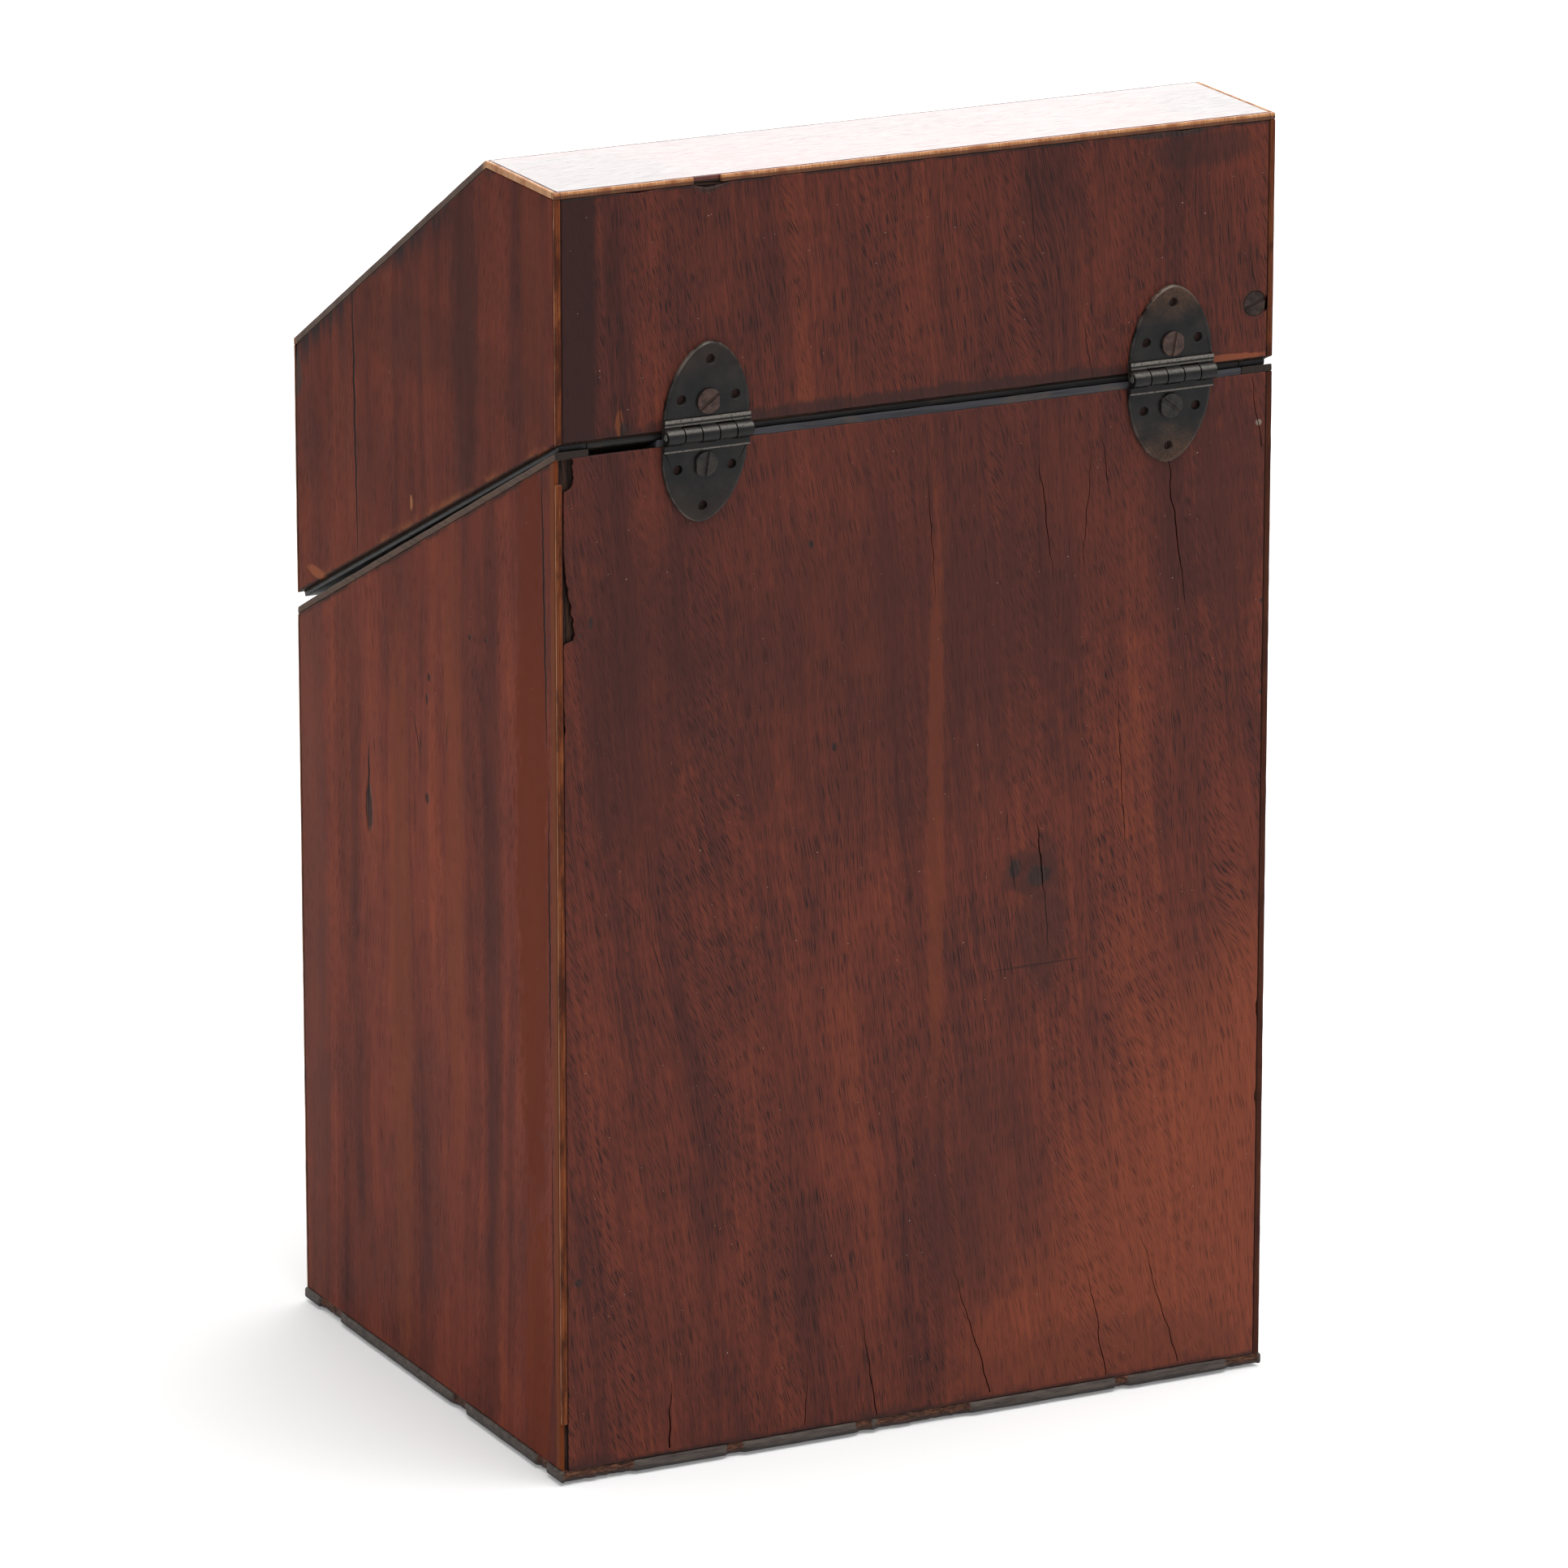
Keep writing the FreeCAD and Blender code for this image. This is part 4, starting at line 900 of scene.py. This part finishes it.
def make_lid_panels():
    """The lid's six veneers, each with its own marks."""
    # The pale levels paint the light on each face as well as its tone.
    back = mahogany(
        "mahogany_lid_back", ("x", "z", "y"), lean=10, gloss=0.46, pale=0.77,
        splits=[((-37.0, 342), (-34.2, 372), 0.36), ((-88.5, 345), (-88.0, 374), 0.34),
                ((-55.8, 306), (-51.6, 328), 0.42), ((92.0, 300), (94.6, 318), 0.55),
                ((-56, 308), (-53, 360), 0.14), ((-108.6, 327), (-106.2, 340), 0.40)],
        knots=[((66.0, 378), (6.4, 3.2)), ((-80, 377.4), (16, 1.6)), ((-71, 377.5), (5, 1.4)),
               ((93.4, 310.0), (0.9, 3.0)), *nail_holes(1)],
        hems=[(0.0, 378, -1.3, (0.014, 0.007, 0.006), 0.36, 0.52)],
        bands=[(100.0, 102.8, (0.021, 0.0072, 0.0064), 0.88)],
        stains=[((0, 308), (130, 5), (0.026, 0.011, 0.010), 0.75),
                ((94.4, 312), (1.5, 4.5), (0.20, 0.055, 0.016), 0.5),
                ((-90, 372), (22, 6), (0.03, 0.012, 0.011), 0.5),
                ((-108, 324.4), (5.2, 5.4), (0.030, 0.012, 0.010), 0.45),
                ((-100, 309.4), (15, 1.3), (0.24, 0.066, 0.028), 0.7)])
    put(worn_leaf("lid_veneer_back", BACK,
                  bites=[((66, 90, 378), 5.2, 2.4, -UP), ((88, 90, 378), 4, 0.7, -UP),
                         ((-84, 90, 378), 7, 0.5, -UP)]),
        "lid_back_leaf", back, "lid_veneer_back")
    right = mahogany(
        "mahogany_lid_right", ("y", "z", "x"), lean=0, gloss=0.30, shine=0.012, pale=0.94, pore=0.5,
        comb=0.45,
        splits=[((-45.6, 238), (-47.8, 334), 1.5)],
        hems=[(0.4828, 264.9, 4.2, (0.20, 0.062, 0.024), 0.46, 0.62),
              (0.4828, 264.9, 1.3, (0.030, 0.017, 0.014), 0.30, 0.46),
              (0.602, 351.2, -15.0, (0.017, 0.014, 0.015), 0.40, 0.54)],
        stains=[((74, 350), (10, 60), (0.17, 0.038, 0.014), 0.25),
                ((30, 330), (10, 80), (0.045, 0.013, 0.01), 0.5),
                ((-7.7, 268.5), (1.0, 2.6), (0.36, 0.15, 0.060), 0.8),
                ((-87.5, 289), (4, 9), (0.045, 0.040, 0.034), 0.6),
                ((-76, 231.4), (8, 2.0), (0.30, 0.09, 0.034), 0.7),
                ((0, 318), (120, 14), (0.05, 0.016, 0.012), 0.25)])
    put(worn_leaf("lid_veneer_right", RIGHT, bites=[((114, -89, 297), 5, 1.2, BACK)]), "lid_right_leaf",
        right, "lid_veneer_right")
    left = mahogany("mahogany_lid_left", ("y", "z", "x"), lean=3, gloss=0.32, pale=1.0, pore=0.5,
                    splits=[((20, 300), (24, 380), 0.3)])
    put(worn_leaf("lid_veneer_left", LEFT), "lid_left_leaf", left, "lid_veneer_left")
    front = mahogany("mahogany_lid_front", ("x", "z", "y"), lean=-3, gloss=0.30, pale=1.1, pore=0.6)
    put(worn_leaf("lid_veneer_front", FRONT), "lid_front_leaf", front, "lid_veneer_front")
    slope = mahogany("mahogany_lid_slope", ("x", "y", "z"), lean=2, gloss=0.26, shine=0.3, pale=1.15,
                     pore=0.6,
                     stains=[((0, -20), (40, 80), (0.17, 0.04, 0.016), 0.4),
                             ((-60, 10), (18, 60), (0.05, 0.014, 0.01), 0.4)])
    put(worn_leaf("lid_veneer_slope", SLOPE), "lid_slope_leaf", slope, "lid_veneer_slope")
    top = mahogany("mahogany_lid_top", ("y", "x", "z"), lean=1, gloss=0.17, shine=0.36, pale=1.0, pore=0.0,
                   ripple=0.02, comb=0.6,
                   stains=[((70, 96), (26, 34), (0.030, 0.010, 0.009), 0.75),
                           ((70, -104), (24, 22), (0.030, 0.011, 0.010), 0.85)])
    put(worn_leaf("lid_veneer_top", UP), "lid_top_leaf", top, "lid_veneer_top")


def make_strings():
    """Stringing along the corners and edges. Two stretches of the case's and one of the lid's are lost."""
    upright = boxwood("boxwood_lines", (0.058, 0.016, 0.008), (0.150, 0.040, 0.014), (0.27, 0.085, 0.028),
                      shine=0.06, far=1.0)
    top_edge = boxwood("boxwood_top_line", (0.26, 0.088, 0.030), (0.45, 0.20, 0.080), (0.64, 0.37, 0.19),
                       shine=0.2, grimy=379.2)
    side_edge = boxwood("boxwood_side_line", (0.32, 0.12, 0.045), (0.50, 0.25, 0.11), (0.64, 0.38, 0.20),
                        shine=0.12, dim=0.9)
    lines = cad_shape("case_strings_back")
    for low, high in ((0, 18.6), (296.5, 310)):
        lines = drop_stretch(lines, UP, low, high, lambda place: place.x > 0)
    put(worn_strip(lines, UP, (0, 306), 4, 0.3, 0.09, 5), "case_back_lines", upright, "case_strings_back")
    for node, name in (("case_strings_front", "case_front_lines"), ("lid_strings_back", "lid_back_lines"),
                       ("lid_strings_front", "lid_front_lines")):
        ends = [corner.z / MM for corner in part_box(node)]
        put(worn_strip(cad_shape(node), UP, ends, 4, 0.3, 0.08, 5), name, upright, node)
    top = drop_stretch(cad_shape("lid_string_top"), RIGHT, 62.5, 71.0, lambda place: True)
    put(worn_strip(top, RIGHT, SPAN, 4, 0.35, 0.10, 5), "lid_top_line", top_edge, "lid_string_top")
    for node, name, axis, wear, finish in (
            ("lid_string_slope_foot", "lid_slope_foot_line", RIGHT, 0.08, upright),
            ("lid_strings_side", "lid_side_lines", BACK, 0.07, side_edge)):
        put(worn_strip(cad_shape(node), axis, SPAN, 4, 0.3, wear, 5), name, finish, node)


def make_rims():
    """Banding round the case's rim, with a stretch of the back one lost, and the bead under the lid's."""
    brown = worn_brown("banding_brown", (0.035, 0.020, 0.014), (0.080, 0.042, 0.026), (0.15, 0.092, 0.058),
                       ("x", "y", "z"), 0.45, 0.85)
    # Dark lacquer on the rim bands at the back and front, with its reflection of the white surroundings
    # painted in as blue grey.
    lacquer_and_sheen = worn_brown("banding_dark_painted_sheen", (0.018, 0.018, 0.021), (0.040, 0.040, 0.046), (0.085, 0.058, 0.042),
                       ("z", "x", "y"), 0.36)
    ebony = worn_brown("bead_ebonised", (0.012, 0.011, 0.011), (0.026, 0.024, 0.024), (0.060, 0.042, 0.032),
                       ("z", "x", "y"), 0.34)
    side_ebony = worn_brown("bead_ebonised_side", (0.010, 0.010, 0.010), (0.022, 0.022, 0.023),
                            (0.050, 0.046, 0.044), ("x", "y", "z"), 0.30)
    back = drop_stretch(cad_shape("rim_banding_back"), RIGHT, 83, 111.6, lambda place: place.y > 0)
    put(worn_strip(back, RIGHT, SPAN, 3, 0.4, 0.13, 6), "rim_back_band", lacquer_and_sheen, "rim_banding_back")
    for side, axis, finish in (("front", RIGHT, lacquer_and_sheen), ("left", BACK, brown), ("right", BACK, brown)):
        band = worn_strip(cad_shape(f"rim_banding_{side}"), axis, SPAN, 3, 0.4, 0.14, 6)
        put(band, f"rim_{side}_band", finish, f"rim_banding_{side}")
    for side, axis, finish in (("back", RIGHT, ebony), ("front", RIGHT, ebony), ("left", BACK, side_ebony),
                               ("right", BACK, side_ebony)):
        bead = worn_strip(cad_shape(f"lid_bead_{side}"), axis, SPAN, 4, 0.5, 0.07, 7, segments=3)
        put(bead, f"lid_{side}_bead", finish, f"lid_bead_{side}")


def make_feet():
    """Edgings under the walls, their skin broken away over stretches given as places and half lengths."""
    grey = foot_grey()
    skin_deep = 3 * MM
    for side, out, axis, gaps in (
            ("back", BACK, RIGHT,
             ((109, 5), (98, 7), (59, 2.6), (2, 12), (-12, 6), (17, 2.5), (-68, 2.2), (-108, 6))),
            ("front", FRONT, RIGHT, ((-60, 9), (70, 5))),
            ("left", LEFT, BACK, ((30, 8), (-70, 6))),
            ("right", RIGHT, BACK, ((-72, 8), (20, 5), (78, 5)))):
        strip = slice_along(eased(cad_shape(f"foot_edging_{side}"), 0.8, 3), axis, *SPAN, 1.3)
        mark = strip.verts.layers.float.new("broken")
        face = max(vert.co.dot(out) for vert in strip.verts)
        for vert in strip.verts:
            near = max(1 - ((vert.co.dot(axis) / MM - place) / half) ** 2 for place, half in gaps)
            gone = max(0.0, min(1.0, near * 3 + lumps(vert.co, 3)))
            vert[mark] = gone
            skin = max(0.0, 1 - (face - vert.co.dot(out)) / skin_deep)
            rough = 0.5 + 0.5 * lumps(vert.co, 1.6)
            vert.co -= out * skin * gone * (0.5 + 1.5 * rough) * MM
            vert.co += unrest(vert.co, 5) * 0.10 * MM
        put(strip, f"foot_{side}_strip", grey, f"foot_edging_{side}", crease=50, flat=1e6)


def make_hinges():
    """Both hinges with their pins and screws, and the mending screw in the lid's back."""
    bronze = aged_bronze()
    iron = screw_metal("screw_dull_iron", (0.012, 0.011, 0.011), (0.032, 0.026, 0.022))
    copper = screw_metal("screw_brown", (0.030, 0.018, 0.016), (0.072, 0.042, 0.033))
    steel = screw_metal("pin_dull_steel", (0.060, 0.056, 0.052), (0.16, 0.15, 0.14))
    rusty = screw_metal("screw_dark_brown", (0.012, 0.0075, 0.0065), (0.046, 0.026, 0.020))
    for hand in ("left", "right"):
        for half, screw_finish in (("upper", copper), ("lower", iron)):
            node = f"hinge_{half}_leaf_{hand}"
            middle = max(HINGE_SKEW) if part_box(node)[0].x > 0 else min(HINGE_SKEW)
            skew = HINGE_SKEW[middle]
            leaf = skewed(rounded_leaf(cad_shape(node), middle), skew)
            put(leaf, f"hinge_{half}_{hand}", bronze, node, crease=42)
            screw = f"hinge_{half}_screw_{hand}"
            head = turned(cad_shape(screw), HINGE_SLOT_TURNS.get((half, middle), 0))
            put(eased(skewed(head, skew), 0.16, 2, 50), f"{screw}_head", screw_finish, screw)
        pin = f"hinge_pin_{hand}"
        put(eased(cad_shape(pin), 0.25, 3, 60), f"{pin}_rod", steel, pin)
    mending = turned(cad_shape("lid_mending_screw"), MENDING_SLOT_TURN)
    put(eased(mending, 0.16, 2, 50), "mending_screw_head", rusty, "lid_mending_screw")


def make_inside():
    """Carcase boards, cutlery rack and lock."""
    paint(bare_pine("pine_boards_level", ("z", "x", "y")),
          "case_board_back", "case_board_front", "lid_board_back", "lid_board_front")
    paint(bare_pine("pine_boards_upright", ("y", "z", "x")),
          "case_board_left", "case_board_right", "lid_board_left", "lid_board_right")
    paint(bare_pine("pine_boards_flat", ("y", "x", "z")),
          "bottom_board", "lid_board_top", "lid_board_slope", "rack_batten_left", "rack_batten_right")
    rack = mahogany("mahogany_rack", ("x", "y", "z"), lean=0, gloss=0.40, pale=1.1, pore=0.7)
    put(eased(cad_shape("cutlery_rack"), 0.4, 2, 60), "cutlery_rack_top", rack, "cutlery_rack")
    brass = old_brass()
    for node, name in (("escutcheon", "escutcheon_plate"), ("lock_case", "lock_box"),
                       ("lock_bolt", "lock_slide"), ("lock_link_plate", "lock_link")):
        put(eased(cad_shape(node), 0.15, 2, 60), name, brass, node)


def make_baize():
    """The cloth under the case, a little uneven."""
    low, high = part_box("baize_underlay")
    cloth = bmesh.new()
    bmesh.ops.create_grid(cloth, x_segments=44, y_segments=34, size=1.0)
    bmesh.ops.scale(cloth, verts=cloth.verts[:], vec=((high.x - low.x) / 2, (high.y - low.y) / 2, 1))
    for vert in cloth.verts:
        vert.co.z = (0.82 + 0.08 * lumps(vert.co, 12)) * MM
    bmesh.ops.solidify(cloth, geom=cloth.faces[:], thickness=0.7 * MM)
    bmesh.ops.recalc_face_normals(cloth, faces=cloth.faces[:])
    baize = put(cloth, "baize_cloth", green_baize(), "baize_underlay")


def seen_ray(tree):
    """1 where the backdrop is seen straight, mirrored or through something, 0 where it only lights."""
    path = tree.nodes.new("ShaderNodeLightPath")
    seen = path.outputs["Is Camera Ray"]
    for other in ("Is Glossy Ray", "Is Transmission Ray"):
        either = tree.nodes.new("ShaderNodeMath")
        either.operation = "MAXIMUM"
        tree.links.new(seen, either.inputs[0])
        tree.links.new(path.outputs[other], either.inputs[1])
        seen = either.outputs[0]
    return seen


def make_floor():
    shape = bmesh.new()
    bmesh.ops.create_grid(shape, x_segments=1, y_segments=1, size=9.0)
    mesh = bpy.data.meshes.new("studio_floor")
    shape.to_mesh(mesh)
    shape.free()
    white = bpy.data.materials.new("floor_white")
    white.use_nodes = True
    tree = white.node_tree
    paper = tree.nodes["Principled BSDF"]
    paper.inputs["Base Color"].default_value = (0.82, 0.82, 0.82, 1)
    paper.inputs["Roughness"].default_value = 0.9
    paper.inputs["Specular IOR Level"].default_value = 0.0
    paper.inputs["Emission Color"].default_value = (1, 1, 1, 1)
    level = tree.nodes.new("ShaderNodeMath")
    level.operation = "MULTIPLY"
    level.inputs[1].default_value = 0.18
    tree.links.new(seen_ray(tree), level.inputs[0])
    tree.links.new(level.outputs[0], paper.inputs["Emission Strength"])
    mesh.materials.append(white)
    floor = bpy.data.objects.new("studio_floor", mesh)
    bpy.context.scene.collection.objects.link(floor)


def make_world():
    world = bpy.data.worlds.new("studio_white")
    bpy.context.scene.world = world
    world.use_nodes = True
    sky = world.node_tree
    power = sky.nodes.new("ShaderNodeMapRange")
    power.inputs["To Min"].default_value = 0.55
    power.inputs["To Max"].default_value = 1.0
    sky.links.new(seen_ray(sky), power.inputs["Value"])
    sky.links.new(power.outputs[0], sky.nodes["Background"].inputs["Strength"])
    sky.nodes["Background"].inputs["Color"].default_value = (1, 1, 1, 1)


def make_softbox(name, place, target, width, height, power):
    """A soft lamp in metres and watts, which the camera doesn't see."""
    lamp = bpy.data.lights.new(name, "AREA")
    lamp.shape = "RECTANGLE"
    lamp.size = width
    lamp.size_y = height
    lamp.energy = power
    held = bpy.data.objects.new(name, lamp)
    held.location = place
    held.rotation_euler = (Vector(target) - Vector(place)).to_track_quat("-Z", "Y").to_euler()
    held.visible_camera = False
    bpy.context.scene.collection.objects.link(held)


def make_camera():
    """The camera, by its angles round and above the box, its distance in metres and its framing."""
    turn = math.radians(153.44)
    rise = math.radians(16.47)
    away = Vector((math.sin(turn) * math.cos(rise), -math.cos(turn) * math.cos(rise), math.sin(rise)))
    aim = (-away).to_track_quat("-Z", "Y")
    middle = Vector((0, 0, 0.190))
    framing = Vector((0.0017, -0.018, 0))
    camera = bpy.data.cameras.new("camera")
    camera.sensor_width = 36
    camera.lens = 233.6
    camera.clip_start = 0.1
    camera.clip_end = 60
    held = bpy.data.objects.new("camera", camera)
    held.rotation_mode = "QUATERNION"
    held.rotation_quaternion = aim
    held.location = middle + away * 2.988 + aim @ framing
    bpy.context.scene.collection.objects.link(held)
    bpy.context.scene.camera = held


make_camera()
make_floor()
make_world()
make_softbox("softbox_overhead", (-0.2, 0.5, 2.1), (0, 0.2, 0.0), 2.4, 2.0, 48)
make_softbox("softbox_behind", (-1.0, -2.0, 0.95), (0, 0, 0.35), 3.2, 1.3, 32)
make_softbox("softbox_near", (-1.7, 1.9, 1.5), (0, 0, 0.2), 1.2, 1.2, 4)
make_case_panels()
make_lid_panels()
make_strings()
make_rims()
make_feet()
make_hinges()
make_inside()
make_baize()
bpy.context.scene.view_settings.view_transform = "Standard"
